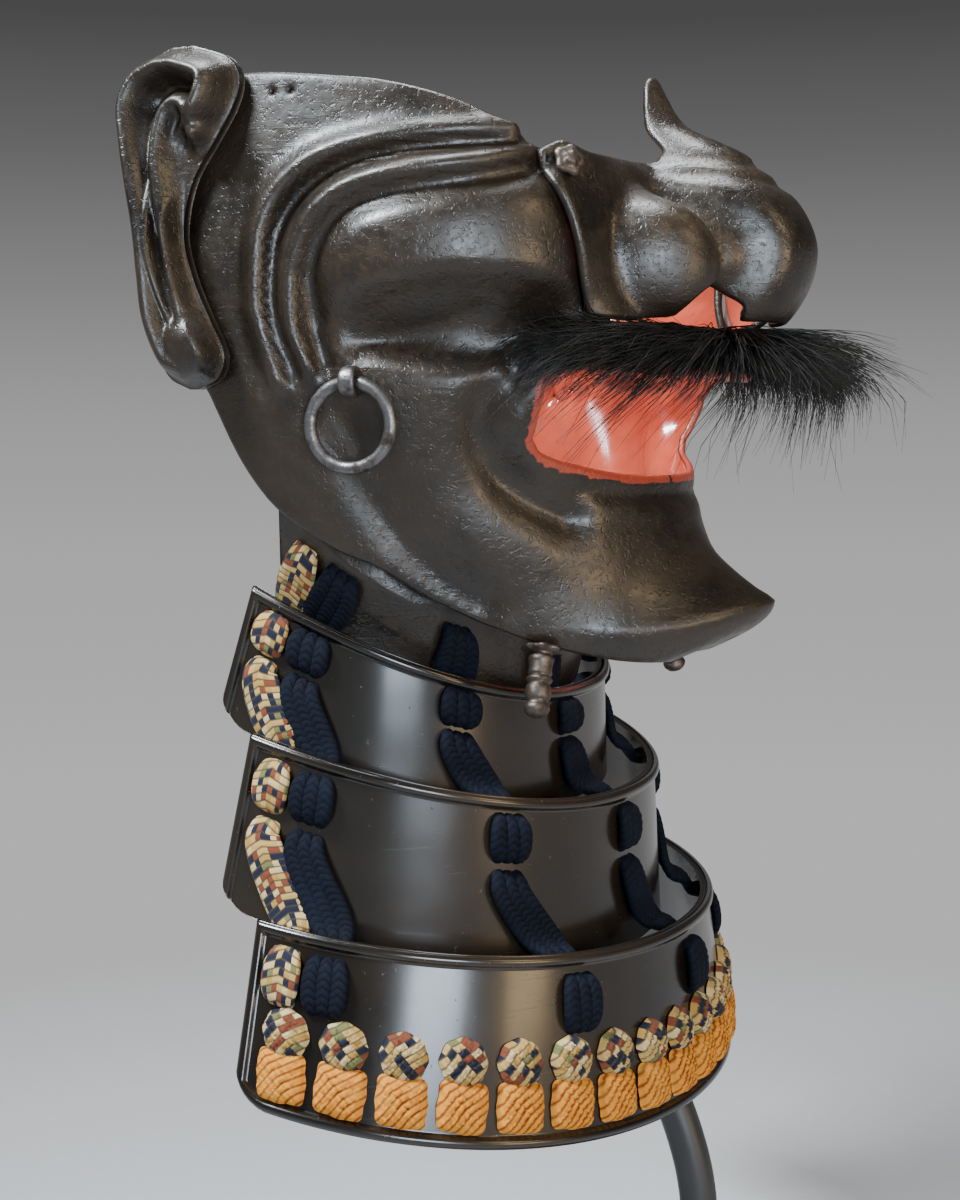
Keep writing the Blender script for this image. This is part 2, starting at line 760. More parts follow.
NOSE_SECTIONS = Table(
    "height base rise half round",
    (0.0, 0.885, 0.4, 0.76, 2.2), (0.078, 0.87, 0.65, 0.86, 2.25), (0.19, 0.855, 0.86, 0.97, 2.3),
    (0.31, 0.842, 0.97, 1.0, 2.35), (0.41, 0.827, 0.98, 0.97, 2.4), (0.517, 0.803, 0.93, 0.89, 2.5),
    (0.62, 0.76, 0.86, 0.7, 2.6), (0.69, 0.72, 0.84, 0.56, 2.7), (0.75, 0.685, 0.71, 0.48, 2.7),
    (0.802, 0.67, 0.52, 0.43, 2.7), (0.862, 0.665, 0.4, 0.4, 2.7), (0.93, 0.662, 0.32, 0.37, 2.7),
    (1.0, 0.66, 0.24, 0.34, 2.7),
)
NOSE_TOP = Table(
    "out top",
    (0, 1.0), (0.07, 0.985), (0.11, 0.92), (0.15, 0.81), (0.2, 0.7), (0.27, 0.645), (0.62, 0.62),
    (0.8, 0.61), (0.93, 0.635), (1.0, 0.6),
)
NOSE_EDGE = Table("height angle", (0.598, 31), (0.69, 33), (0.78, 35.2), (0.85, 37.5), (1.0, 38))
MOUTH = ((0, 0.344), (12, 0.345), (20, 0.35), (28, 0.362), (34, 0.376), (37.5, 0.4), (39, 0.44),
         (38.6, 0.48), (36.5, 0.52), (31, 0.534), (20, 0.53), (10, 0.527), (0, 0.525))


@dataclass(frozen=True)
class Stroke:
    """A line worked into the sheet: a raised wrinkle, or a groove where its rise is negative."""

    rise: float
    width: float
    points: tuple

    def line(self) -> Points:
        """The stroke's line in radians and shares of the face's height."""
        drawn = curve(self.points, 40)
        return np.stack([np.radians(drawn[:, 0]), drawn[:, 1]], -1)

    def lift(self, angle: Points, height: Points, reach: Points) -> Points:
        """How far the stroke raises the sheet at each spot."""
        best = np.full(np.shape(angle), np.inf)
        line = self.line()
        for a, b in zip(line[:-1], line[1:]):
            ax, ay = (a[0] - angle) * reach, (a[1] - height) * FACE_HEIGHT
            dx, dy = (b[0] - a[0]) * reach, (b[1] - a[1]) * FACE_HEIGHT
            t = np.clip(-(ax * dx + ay * dy) / (dx * dx + dy * dy), 0, 1)
            best = np.minimum(best, np.hypot(ax + dx * t, ay + dy * t))
        return self.rise * np.exp(-((best / self.width) ** 2))


# angle and height of the middle, half width and half height, and rise
CHEEK_BOSSES = (
    (50, 0.73, 27, 18, 7.5),
    (49, 0.602, 24, 9, -5.5),
)
BROAD_GROOVES = (
    Stroke(-3.2, 4.6, ((41, 0.52), (45, 0.465), (44, 0.405), (38, 0.334), (29, 0.28))),
    Stroke(-3.2, 5.2, ((68, 0.46), (63, 0.373), (57, 0.274), (50, 0.198), (42, 0.145))),
)
WRINKLES = (
    Stroke(2.9, 2.5, ((42, 0.906), (52, 0.903), (62, 0.888), (71, 0.854), (77, 0.79), (79, 0.71),
                      (79, 0.62), (76, 0.51))),
    Stroke(2.8, 2.4, ((39, 0.876), (49, 0.852), (58, 0.838), (66, 0.81), (71, 0.755), (73.5, 0.68),
                      (74, 0.6), (71, 0.53))),
    Stroke(-2.2, 1.9, ((38, 0.892), (49, 0.879), (57, 0.868), (66, 0.845), (73, 0.79), (76.5, 0.71),
                       (76.5, 0.62), (73.5, 0.52))),
    Stroke(-2.6, 2.8, ((38, 0.855), (44, 0.832), (53, 0.812), (60, 0.795), (66, 0.765), (70, 0.7),
                       (70.5, 0.62), (69, 0.54))),
    Stroke(-0.9, 2.2, ((81, 0.83), (82.5, 0.72), (82, 0.6), (79, 0.5))),
    Stroke(1.1, 2.6, ((66, 0.54), (69, 0.48), (66, 0.41), (60, 0.33), (53, 0.25))),
    Stroke(1.0, 2.6, ((39, 0.56), (43, 0.52), (42, 0.46), (41, 0.41), (36, 0.345), (28, 0.31),
                      (14, 0.295), (0, 0.29))),
    Stroke(-1.6, 3.2, ((47, 0.61), (55, 0.585), (63, 0.56), (68, 0.52))),
)


def boss(q: Points) -> Points:
    """Height of a hammered boss at a share of its radius: round on top, with a soft skirt."""
    edge, skirt = 0.8, 1.35
    top = math.sqrt(1 - edge * edge)
    slope = -edge / top
    q = np.asarray(q, dtype=float)
    t = np.clip((q - edge) / (skirt - edge), 0, 1)
    foot = top * (2 * t**3 - 3 * t**2 + 1) + slope * (skirt - edge) * (t**3 - 2 * t**2 + t)
    return np.where(q < edge, np.sqrt(np.maximum(1 - q * q, 0)), np.where(q < skirt, foot, 0))


def section_reach(angle: Points, half: Points, depth: Points, power: Points) -> Points:
    """Distance from the head's axis to a level section in a direction."""
    across = np.abs(np.sin(angle) / half) ** power
    ahead = np.abs(np.cos(angle) / depth) ** power
    return (across + ahead) ** (-1 / power)


def mask_point(angle: Points, reach: Points, height: Points) -> Points:
    """A point of the mask from its angle round the head, its reach and its height."""
    x = reach * np.sin(angle)
    y = AXIS_BACK - reach * np.cos(angle)
    return np.stack([x, y, LIFT + height * FACE_HEIGHT + 0 * x], -1)


def face_hammered(angle: Points, height: Points) -> Points:
    """The face with its bosses, hollows and broad grooves, which the inside follows too."""
    off = 1 - np.exp(-((angle / math.radians(13)) ** 2))
    level = height + 0.047 * off * (1 - smooth(height, 0.15, 0.35))
    half = FACE_SECTIONS.at("half", level) * FACE_HALF
    depth = FACE_SECTIONS.at("depth", level) * FACE_DEPTH
    plain = section_reach(angle, half, depth, FACE_SECTIONS.at("round", level))
    side = np.abs(angle)
    reach = plain
    for at, high, across, up, rise in CHEEK_BOSSES:
        q = np.hypot((side - math.radians(at)) * plain / across, (height - high) * FACE_HEIGHT / up)
        reach = reach + rise * boss(q)
    for groove in BROAD_GROOVES:
        reach = reach + groove.lift(side, height, plain)
    return reach


def on_sheet(angle: Points, height: Points) -> Points:
    """Angles in radians and heights as places on the flat sheet in millimetres."""
    return np.stack([angle * SHEET_RADIUS, height * FACE_HEIGHT], -1)


def mouth_line() -> Points:
    """The left half of the mouth's line, in radians and shares of the face's height."""
    return np.array([(math.radians(angle), height) for angle, height in MOUTH])


def face_outside(angle: Points, height: Points) -> Points:
    """The outside of the face, with its wrinkles and the rolled lip round the mouth."""
    reach = face_hammered(angle, height)
    side = np.abs(angle)
    lifted = reach
    for wrinkle in WRINKLES:
        lifted = lifted + wrinkle.lift(side, height, reach)
    line = mouth_line()
    lip = distance_to(on_sheet(side, height), on_sheet(line[:, 0], line[:, 1]))
    return lifted + 1.3 * np.exp(-(((lip - 1.2) / 2.4) ** 2))


def nose_edge(height: Points) -> Points:
    """The angle at which the nose plate ends."""
    return np.radians(NOSE_EDGE.at("angle", height))


def cheek_edge(height: Points) -> Points:
    """The angle at which the cheek ends under the nose plate's lap."""
    edge = nose_edge(height)
    return edge - 6 / section_reach(edge, FACE_HALF, FACE_DEPTH, 2.0)


NOSE_WRINKLES = (
    Stroke(-1.3, 1.5, ((-9, 0.9), (-4, 0.893), (0, 0.89), (4, 0.893), (9, 0.9))),
    Stroke(-1.2, 1.4, ((-10, 0.866), (-4, 0.857), (0, 0.853), (4, 0.857), (10, 0.866))),
)


def nose_outside(angle: Points, height: Points) -> Points:
    """The outside of the nose plate: ridge, tip, wings, and the lap over the cheeks."""
    level = np.clip((height - NOSE_NOTCH) * (FACE_HEIGHT / NOSE_HEIGHT), 0, 1)
    ahead = NOSE_SECTIONS.at("base", level) * FACE_DEPTH
    base = section_reach(angle, FACE_HALF, ahead, NOSE_SECTIONS.at("round", level))
    across = np.abs(base * np.sin(angle)) / (NOSE_SECTIONS.at("half", level) * RIDGE_HALF)
    ridge = RIDGE_RISE * NOSE_SECTIONS.at("rise", level) * boss(across)
    wing_across = (np.abs(angle) - math.radians(WING_ANGLE)) * base / WING_RADIUS
    share = np.hypot(wing_across, (height - WING_MIDDLE) * FACE_HEIGHT / WING_RADIUS)
    crease = CREASE_DEPTH * np.exp(-((((share - 1.06) * WING_RADIUS) / CREASE_HALF) ** 2))
    free = base + np.maximum(ridge, WING_RISE * boss(share)) - crease
    for wrinkle in NOSE_WRINKLES:
        free = free + wrinkle.lift(angle, height, base)
    lap = face_outside(angle, height) + LAP + WALL
    edge = nose_edge(height)
    blend = smooth(np.abs(angle) - edge, -math.radians(19), 0.0)
    return free * (1 - blend) + lap * blend


@dataclass(frozen=True)
class Seat:
    """A spot on the mask with the direction out of it."""

    point: Points
    out: Points

    @staticmethod
    def on(reach_at: Callable[[Points, Points], Points], angle: float, height: float) -> "Seat":
        """The seat at an angle in degrees and a share of the face's height."""
        turn, climb, a = 0.03, 0.015, math.radians(angle)

        def spot(at: float, high: float) -> Points:
            """The mask's point at an angle in radians and a height."""
            return mask_point(np.array(at), reach_at(np.array(at), np.array(high)), np.array(high))

        along = spot(a + turn, height) - spot(a - turn, height)
        up = unit(spot(a, height + climb) - spot(a, height - climb))
        return Seat(spot(a, height), unit(np.cross(along, up)))

    def frame(self, level: bool = False) -> Points:
        """A placement whose Z points outward, laid level if asked, and whose X lies level."""
        z = unit(self.out * [1, 1, 0]) if level else self.out
        x = unit(np.cross([0, 0, 1], z))
        return basis(x, np.cross(z, x), z, self.point)


@dataclass
class Shell:
    """A hammered sheet: an outline and holes in angle and height, on a curved surface."""

    reach_at: Callable[[Points, Points], Points]
    outline: Points
    holes: list[Points]
    mouth: Points | None = None
    pitch: float = 1.5
    red_reach: float = 1.2
    edge_turns: tuple = (0.25, 0.5, 0.75)

    def build(self) -> Surface:
        """Cuts the sheet, gives it its wall and rounds its edges."""
        scale = np.array([SHEET_RADIUS, FACE_HEIGHT])
        loops = [self.resampled(loop * scale) for loop in [self.outline, *self.holes]]
        low, high = loops[0].min(0), loops[0].max(0)
        rows = np.arange(low[1], high[1], self.pitch * 0.87)
        dots = []
        for k, row in enumerate(rows):
            line = np.arange(low[0] + (k % 2) * self.pitch / 2, high[0], self.pitch)
            dots.append(np.stack([line, np.full(len(line), row)], -1))
        dots = np.concatenate(dots)
        keep = inside(dots, loops[0])
        for loop in loops[1:]:
            keep &= ~inside(dots, loop)
        for loop in loops:
            near = distance_to(dots, np.concatenate([loop, loop[:1]]))
            keep &= near > 0.5 * self.pitch
        flat, triangles = self.triangulated(dots[keep], loops)
        return self.thickened(flat / scale, triangles)

    def resampled(self, loop: Points) -> Points:
        """A closed loop with points about one pitch apart."""
        whole = np.concatenate([loop, loop[:1]])
        length = np.linalg.norm(np.diff(whole, axis=0), axis=1).sum()
        return evenly(whole, max(int(length / (self.pitch * 0.9)), 10) + 1)[:-1]

    @staticmethod
    def triangulated(dots: Points, loops: list[Points]) -> tuple[Points, Points]:
        """Triangles over the dots that keep the loops as edges and leave the holes open."""
        start, edges = 0, []
        for loop in loops:
            edges += [(start + k, start + (k + 1) % len(loop)) for k in range(len(loop))]
            start += len(loop)
        corners = [Vector(p) for p in np.concatenate([*loops, dots]).tolist()]
        found = delaunay_2d_cdt(corners, edges, [], 0, 1e-5)
        flat = np.array([tuple(v) for v in found[0]])
        triangles = np.array([face for face in found[2] if len(face) == 3])
        middle = flat[triangles].mean(1)
        keep = inside(middle, loops[0])
        for loop in loops[1:]:
            keep &= ~inside(middle, loop)
        triangles = triangles[keep]
        used, triangles = np.unique(triangles, return_inverse=True)
        return flat[used], triangles.reshape(-1, 3)

    def thickened(self, flat: Points, triangles: Points) -> Surface:
        """The outer face, the inner face behind it and the rounded edge between."""
        angle, height = flat[:, 0], flat[:, 1]

        def spot(a: Points, h: Points) -> Points:
            """Points of the outer face."""
            return mask_point(a, self.reach_at(a, h), h)

        outer = spot(angle, height)
        out = unit(np.cross(spot(angle + 0.006, height) - spot(angle - 0.006, height),
                            spot(angle, height + 0.004) - spot(angle, height - 0.004)))
        ends = np.concatenate([triangles[:, [0, 1]], triangles[:, [1, 2]], triangles[:, [2, 0]]])
        code = ends[:, 0] * len(flat) + ends[:, 1]
        free = ends[~np.isin(code, ends[:, 1] * len(flat) + ends[:, 0])]
        away = np.zeros_like(outer)
        run = outer[free[:, 1]] - outer[free[:, 0]]
        sideways = np.cross(run, out[free[:, 0]])
        np.add.at(away, free[:, 0], sideways)
        np.add.at(away, free[:, 1], sideways)
        away = unit(away)
        size = len(flat)
        border = np.unique(free)
        slot_of = np.full(size, -1)
        slot_of[border] = np.arange(len(border))
        rings, points = [np.arange(size)], [outer, outer - out * WALL]
        start = 2 * size
        for turn in self.edge_turns:
            bulge = 0.5 * WALL * math.sin(math.pi * turn)
            depth = 0.5 * WALL * (1 - math.cos(math.pi * turn))
            points.append((outer + away * bulge - out * depth)[border])
            rings.append(np.where(slot_of >= 0, slot_of + start, -1))
            start += len(border)
        rings.append(np.arange(size) + size)
        sides = [np.stack([a[free[:, 0]], b[free[:, 0]], b[free[:, 1]], a[free[:, 1]]], -1)
                 for a, b in zip(rings, rings[1:])]
        faces = [triangles, triangles[:, ::-1] + size, np.concatenate(sides)]
        made = Surface(np.concatenate(points), faces, [0, 1, 0])
        if self.mouth is not None:
            near = distance_to(on_sheet(angle, height), on_sheet(self.mouth[:, 0], self.mouth[:, 1]))
            worn = np.clip(1 - near / self.red_reach, 0, 1)
            made.red = np.concatenate([worn, 0 * worn, *[worn[border]] * len(self.edge_turns)])
        return made


# pieces of the mask


@dataclass
class Maker:
    made: list[bpy.types.Object] = field(default_factory=list)

    def add(self, surface: Surface, name: str, finishes: Sequence[bpy.types.Material], body: str,
            nodes: Sequence[str], slot: str) -> None:
        """Adds one piece.

        Args:
            surface: its form in millimetres.
            name: the piece's name.
            finishes: its materials.
            body: the body it rides.
            nodes: the CAD nodes it stands for.
            slot: the material slot it fills.
        """
        piece = surface.piece(name, finishes)
        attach(piece, body)
        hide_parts(*nodes)
        LOG.info("%s: %d points", name, len(surface.points))
        self.made.append(piece)


def mirrored_loop(half: Points) -> Points:
    """A closed outline from its half on the left, mirrored to the right."""
    other = half[1:-1][::-1] * [-1, 1]
    return np.concatenate([half, other])


def round_hole(angle: float, height: float, radius: float, tall: float = 1.0) -> Points:
    """A hole of this radius in millimetres at an angle in degrees and a height, tall times as high."""
    turn = np.linspace(0, 2 * math.pi, 24, endpoint=False)
    return np.stack([math.radians(angle) + radius / SHEET_RADIUS * np.cos(turn),
                     height + tall * radius / FACE_HEIGHT * np.sin(turn)], -1)


@dataclass
class FacePlate:
    """The cheeks, lip and chin in one sheet."""

    lacing: tuple = ((77.0, 0.972, 1.3), (74.0, 0.973, 1.3))
    sweat: tuple = (0.0, 0.053, 3.4, 0.6)
    behind_ear: tuple = ((91.0, 0.54), (91.8, 0.62), (91.8, 0.9), (90.5, 0.975))

    def outline(self) -> Points:
        """The sheet's outline: chin, rear edge, upper rim and the notch for the nose."""
        low = np.linspace(0, FACE_REAR, 60)
        top = np.linspace(FACE_REAR, math.degrees(float(cheek_edge(np.array(0.875)))), 50)
        notch = np.linspace(0.868, 0.6, 18)
        half = np.concatenate([
            np.stack([np.radians(low), FACE_EDGES.at("low", low)], -1),
            [(math.radians(angle), height) for angle, height in self.behind_ear],
            np.stack([np.radians(top), FACE_EDGES.at("top", top)], -1),
            np.stack([cheek_edge(notch), notch], -1),
            [[0.0, 0.6]],
        ])
        return mirrored_loop(half)

    def build(self, maker: Maker, iron: bpy.types.Material, red: bpy.types.Material) -> None:
        """Builds the plate."""
        mouth = mirrored_loop(curve(MOUTH, 40) * [math.pi / 180, 1])
        holes = [mouth, round_hole(*self.sweat)]
        for side in Side:
            for angle, height, radius in self.lacing:
                holes.append(round_hole(side.sign * angle, height, radius))
            holes.append(round_hole(side.sign * PIN_ANGLE, PIN_LEVEL, PIN_HOLE))
        shell = Shell(face_outside, self.outline(), holes, mouth=mouth)
        maker.add(shell.build(), "FacePlate", [iron, red], "mask", ["face_plate"], "russet_iron")


@dataclass
class NosePlate:
    """The nose in its own sheet, lapping over the cheeks."""

    nostril_angle: float = 13.0
    nostril_half: float = 0.101
    nostril_height: float = 0.0625

    def outline(self) -> Points:
        """The sheet's outline."""
        share = np.linspace(1, 0, 60)
        top = NOSE_NOTCH + NOSE_TOP.at("top", share) * NOSE_HEIGHT / FACE_HEIGHT
        side = np.linspace(NOSE_FOOT, float(top[0]), 14)[:-1]
        half = np.concatenate([
            np.stack([nose_edge(side), side], -1),
            np.stack([share * nose_edge(top), top], -1),
        ])
        bottom = np.linspace(0, 0.96, 24)
        foot = np.stack([bottom * nose_edge(np.array(NOSE_FOOT)), np.full(24, NOSE_FOOT)], -1)
        return mirrored_loop(np.concatenate([foot, half]))

    def build(self, maker: Maker, iron: bpy.types.Material, red: bpy.types.Material) -> None:
        """Builds the plate."""
        outline = self.outline()
        turn = np.linspace(math.pi, 0, 16)
        for side in Side:
            middle = side.sign * math.radians(self.nostril_angle)
            arch = np.stack([middle + self.nostril_half * np.cos(turn),
                             NOSE_FOOT + self.nostril_height * np.sin(turn)], -1)
            outline = self.notched(outline, arch)
        holes = [round_hole(side.sign * PIN_ANGLE, PIN_LEVEL, PIN_HOLE) for side in Side]
        shell = Shell(nose_outside, outline, holes, pitch=1.2)
        maker.add(shell.build(), "NosePlate", [iron, red], "mask", ["nose_plate"], "russet_iron")

    @staticmethod
    def notched(outline: Points, arch: Points) -> Points:
        """The outline with its straight foot carried over an arch."""
        low, high = arch[:, 0].min(), arch[:, 0].max()
        on_foot = np.abs(outline[:, 1] - NOSE_FOOT) < 1e-6
        drop = on_foot & (outline[:, 0] >= low - 0.004) & (outline[:, 0] <= high + 0.004)
        first = int(np.flatnonzero(drop)[0])
        if drop[0]:
            first = int(np.flatnonzero(~drop)[-1]) + 1
        rolled, cut = np.roll(outline, -first, 0), np.roll(drop, -first)
        rest = rolled[~cut]
        ahead = rest[0, 0] > rest[-1, 0]
        return np.concatenate([arch if ahead else arch[::-1], rest])


EAR_SECTIONS = Table(
    "height back front crest",
    (0.0, 0.58, 0.66, 0.2), (0.03, 0.42, 0.83, 0.45), (0.1, 0.32, 0.9, 0.75), (0.2, 0.25, 0.8, 0.85),
    (0.32, 0.22, 0.68, 0.72), (0.45, 0.18, 0.6, 0.7), (0.6, 0.1, 0.66, 0.8), (0.72, 0.04, 0.84, 0.92),
    (0.82, 0.0, 0.97, 1.0), (0.9, 0.05, 0.99, 1.0), (0.96, 0.17, 0.88, 0.8), (1.0, 0.4, 0.6, 0.4),
)


@dataclass
class Ear:
    """One embossed ear: a broad rolled outer rim that curls into a second ridge."""

    side: Side
    wide: float = 28.0
    tall: float = 71.0
    foot: float = 0.496
    rear: float = 16.5
    wall: float = 2.2
    relief: float = 9.0
    ridge: tuple = (
        (0.74, 0.735), (0.66, 0.81), (0.56, 0.83), (0.46, 0.79), (0.42, 0.68), (0.47, 0.54),
        (0.55, 0.42), (0.62, 0.28), (0.66, 0.16),
    )

    def surface(self) -> Surface:
        """The ear's sheet."""
        rows = (1 - np.cos(np.linspace(0, math.pi, 90))) / 2
        shares = (1 - np.cos(np.linspace(0, math.pi, 56))) / 2
        row, across = np.meshgrid(rows, shares, indexing="ij")
        back = EAR_SECTIONS.at("back", row)
        front = EAR_SECTIONS.at("front", row)
        share = back + (front - back) * across
        y = AXIS_BACK + self.rear - share * self.wide
        height = self.foot + row * self.tall / FACE_HEIGHT
        half = FACE_SECTIONS.at("half", np.minimum(height, 1)) * FACE_HALF
        size = [self.wide, self.tall]
        flat = np.stack([share, row], -1) * size
        rear = np.stack([EAR_SECTIONS.at("back", rows), rows], -1) * size
        fore = np.stack([EAR_SECTIONS.at("front", rows), rows], -1)[::-1] * size
        border = np.concatenate([rear, fore, rear[:1]])
        deep = distance_to(flat, border)
        upper = smooth(row, 0.7, 0.8)
        rim = np.exp(-(((deep - 4.6) / 3.4) ** 2))
        fore_side = smooth(across, 0.5, 0.72)
        rim = rim * (1 - fore_side * (1 - upper))
        inner = curve([(u * self.wide, v * self.tall) for u, v in self.ridge], 40)
        near = distance_to(flat, inner)
        ridge = 0.72 * np.exp(-((near / 2.7) ** 2))
        lobe = boss(np.hypot(flat[..., 0] - 19.0, flat[..., 1] - 8.0) / 8.5)
        height_share = np.maximum(np.maximum(rim, ridge), 0.95 * lobe)
        hollow = 0.02 + 0.98 * height_share
        crest = EAR_SECTIONS.at("crest", row) ** 0.5
        rise = 2.4 + self.relief * crest * hollow * smooth(deep, -0.2, 2.4)
        outer = np.stack([self.side.sign * (half + LAP + rise), y, LIFT + height * FACE_HEIGHT], -1)
        inner_face = outer.copy()
        inner_face[..., 0] = self.side.sign * (half + LAP + np.maximum(rise - self.wall, 0))
        if self.side is Side.RIGHT:
            outer, inner_face = outer[:, ::-1], inner_face[:, ::-1]
        return slab(outer, inner_face)

    def build(self, maker: Maker, iron: bpy.types.Material) -> None:
        """Builds the ear."""
        word = self.side.word
        maker.add(self.surface(), f"Ear.{word}", [iron], "mask", [f"ear_{word}"], "russet_iron")


@dataclass
class NosePin:
    """A turn pin of the nose: lobed head outside, shaft, and tongue inside."""

    side: Side
    head: float = 3.4
    rise: float = 2.6
    play: float = 1.0
    shaft: float = 1.5
    lobes: int = 5
    petals: tuple = (
        (0.75, 0.0), (0.97, 0.2), (0.95, 0.45), (0.7, 0.62), (0.5, 0.6), (0.42, 0.85), (0.26, 1.0),
    )

    def build(self, maker: Maker, iron: bpy.types.Material) -> None:
        """Builds the pin on its own body."""
        seat = Seat.on(nose_outside, self.side.sign * PIN_ANGLE, PIN_LEVEL)
        depth = WALL + LAP + WALL + self.play
        outline = [(r * self.head, h * self.rise) for r, h in self.petals]
        petals = lathe([(0.3, 0), *outline, (0.01, 1.04 * self.rise)], 60, self.lobes, 0.1)
        petals.points[:, 2] += self.play
        shaft = lathe([(0.01, -depth - 1.7), (self.shaft, -depth - 1.6), (self.shaft, self.play + 0.2),
                       (0.01, self.play + 0.3)], 24)
        tongue = rounded_box((4.0, 1.8, 0.8), 0.5)
        tongue.points[:, 2] -= depth + 0.8
        pin = Surface.together([petals, shaft, tongue]).moved(seat.frame())
        word = self.side.word
        maker.add(pin, f"NosePin.{word}", [iron], f"pin_{word}", [f"nose_pin_{word}"], "steel")


@dataclass
class CheekRing:
    """The steel ring on a cheek and the eye staple that it hangs in."""

    side: Side
    angle: float = 64.0
    height: float = 0.506
    radius: float = 8.8
    wire: float = 1.35
    play: float = 0.55

    def build(self, maker: Maker, steel: bpy.types.Material) -> None:
        """Builds the ring on its own body, and its staple."""
        word = self.side.word
        seat = Seat.on(face_outside, self.side.sign * self.angle, self.height)
        out = self.wire + self.play + 0.6
        place = seat.frame(level=True)
        place[:3, 3] += place[:3, 2] * out
        turn = np.linspace(0, 2 * math.pi, 72, endpoint=False)
        path = self.radius * np.stack([np.cos(turn), np.sin(turn) - 1, 0 * turn], -1)
        ring = ribbon(path, np.tile([0.0, 0.0, 1.0], (72, 1)), self.section, 20, closed=True)
        maker.add(ring.moved(place), f"CheekRing.{word}", [steel], f"ring_{word}",
                  [f"cheek_ring_{word}"], "steel")
        mid = self.wire + self.play + 0.75
        foot = 0.4 - out
        arc = np.linspace(0, math.pi, 20)
        arch = [(0.0, mid, foot)]
        arch += [(0.0, mid * math.cos(a), mid * math.sin(a)) for a in arc]
        arch.append((0.0, -mid, foot))
        line = evenly(np.array(arch), 40)
        staple = ribbon(line, np.tile([1.0, 0.0, 0.0], (40, 1)), self.band, 16)
        maker.add(staple.moved(place), f"RingStaple.{word}", [steel], "mask",
                  [f"ring_staple_{word}"], "steel")

    def section(self, share: Points, turn: Points) -> tuple[Points, Points]:
        """The ring's round wire, a little uneven from the hammer."""
        radius = self.wire * (1 + 0.025 * np.sin(share * 40) + 0.02 * np.cos(share * 91))
        return radius * np.cos(turn), radius * np.sin(turn)

    @staticmethod
    def band(share: Points, turn: Points) -> tuple[Points, Points]:
        """The staple's band, wide over the wire and narrower at its feet."""
        wide = 1.25 + 0.5 * np.sin(math.pi * share)
        across = wide * np.sign(np.cos(turn)) * np.abs(np.cos(turn)) ** 0.7
        return across, 0.7 * np.sign(np.sin(turn)) * np.abs(np.sin(turn)) ** 0.7


@dataclass
class ChinPeg:
    """A turned cord peg on a flower-shaped washer."""

    side: Side
    angle: float = 32.0
    length: float = 16.0
    radius: float = 2.9
    lobes: int = 7
    profile: tuple = (
        (0.0, 0.3), (0.0, 1.3), (0.03, 1.45), (0.06, 1.4), (0.075, 0.9), (0.12, 0.72), (0.14, 0.9),
        (0.17, 1.0), (0.21, 0.94), (0.3, 0.86), (0.37, 0.93), (0.39, 0.9), (0.41, 0.7), (0.43, 0.92),
        (0.46, 1.0), (0.49, 0.94), (0.52, 0.75), (0.55, 0.92), (0.6, 0.97), (0.7, 0.98), (0.74, 0.9),
        (0.77, 0.7), (0.81, 0.9), (0.86, 1.0), (0.91, 0.92), (0.96, 0.68), (0.99, 0.3), (1.0, 0.01),
    )

    def build(self, maker: Maker, iron: bpy.types.Material) -> None:
        """Builds the peg."""
        angle = math.radians(self.side.sign * self.angle)
        low = FACE_EDGES.at("low", self.angle)
        spot = mask_point(np.array(angle), face_hammered(np.array(angle), low) - 1.0, low)
        out = np.array([math.sin(angle), -math.cos(angle), 0])
        back = np.array([self.side.sign * math.cos(angle), abs(math.sin(angle)), 0])
        axis = unit(np.array([0, 0, -0.93]) + 0.25 * out + 0.28 * back)
        spot = spot + axis * 0.9
        x = unit(np.cross(axis, [0.0, 1.0, 0.0]))
        pairs = [(r * self.radius, d * self.length) for d, r in self.profile]
        peg = lathe(pairs, 48)
        collar = peg.points[:, 2] < 0.07 * self.length
        turn = np.arctan2(peg.points[:, 1], peg.points[:, 0])
        peg.points[collar, :2] *= (1 + 0.09 * np.cos(self.lobes * turn))[collar, None]
        word = self.side.word
        place = basis(x, np.cross(axis, x), axis, spot)
        maker.add(peg.moved(place), f"ChinPeg.{word}", [iron], "mask", [f"chin_peg_{word}"], "peg_iron")


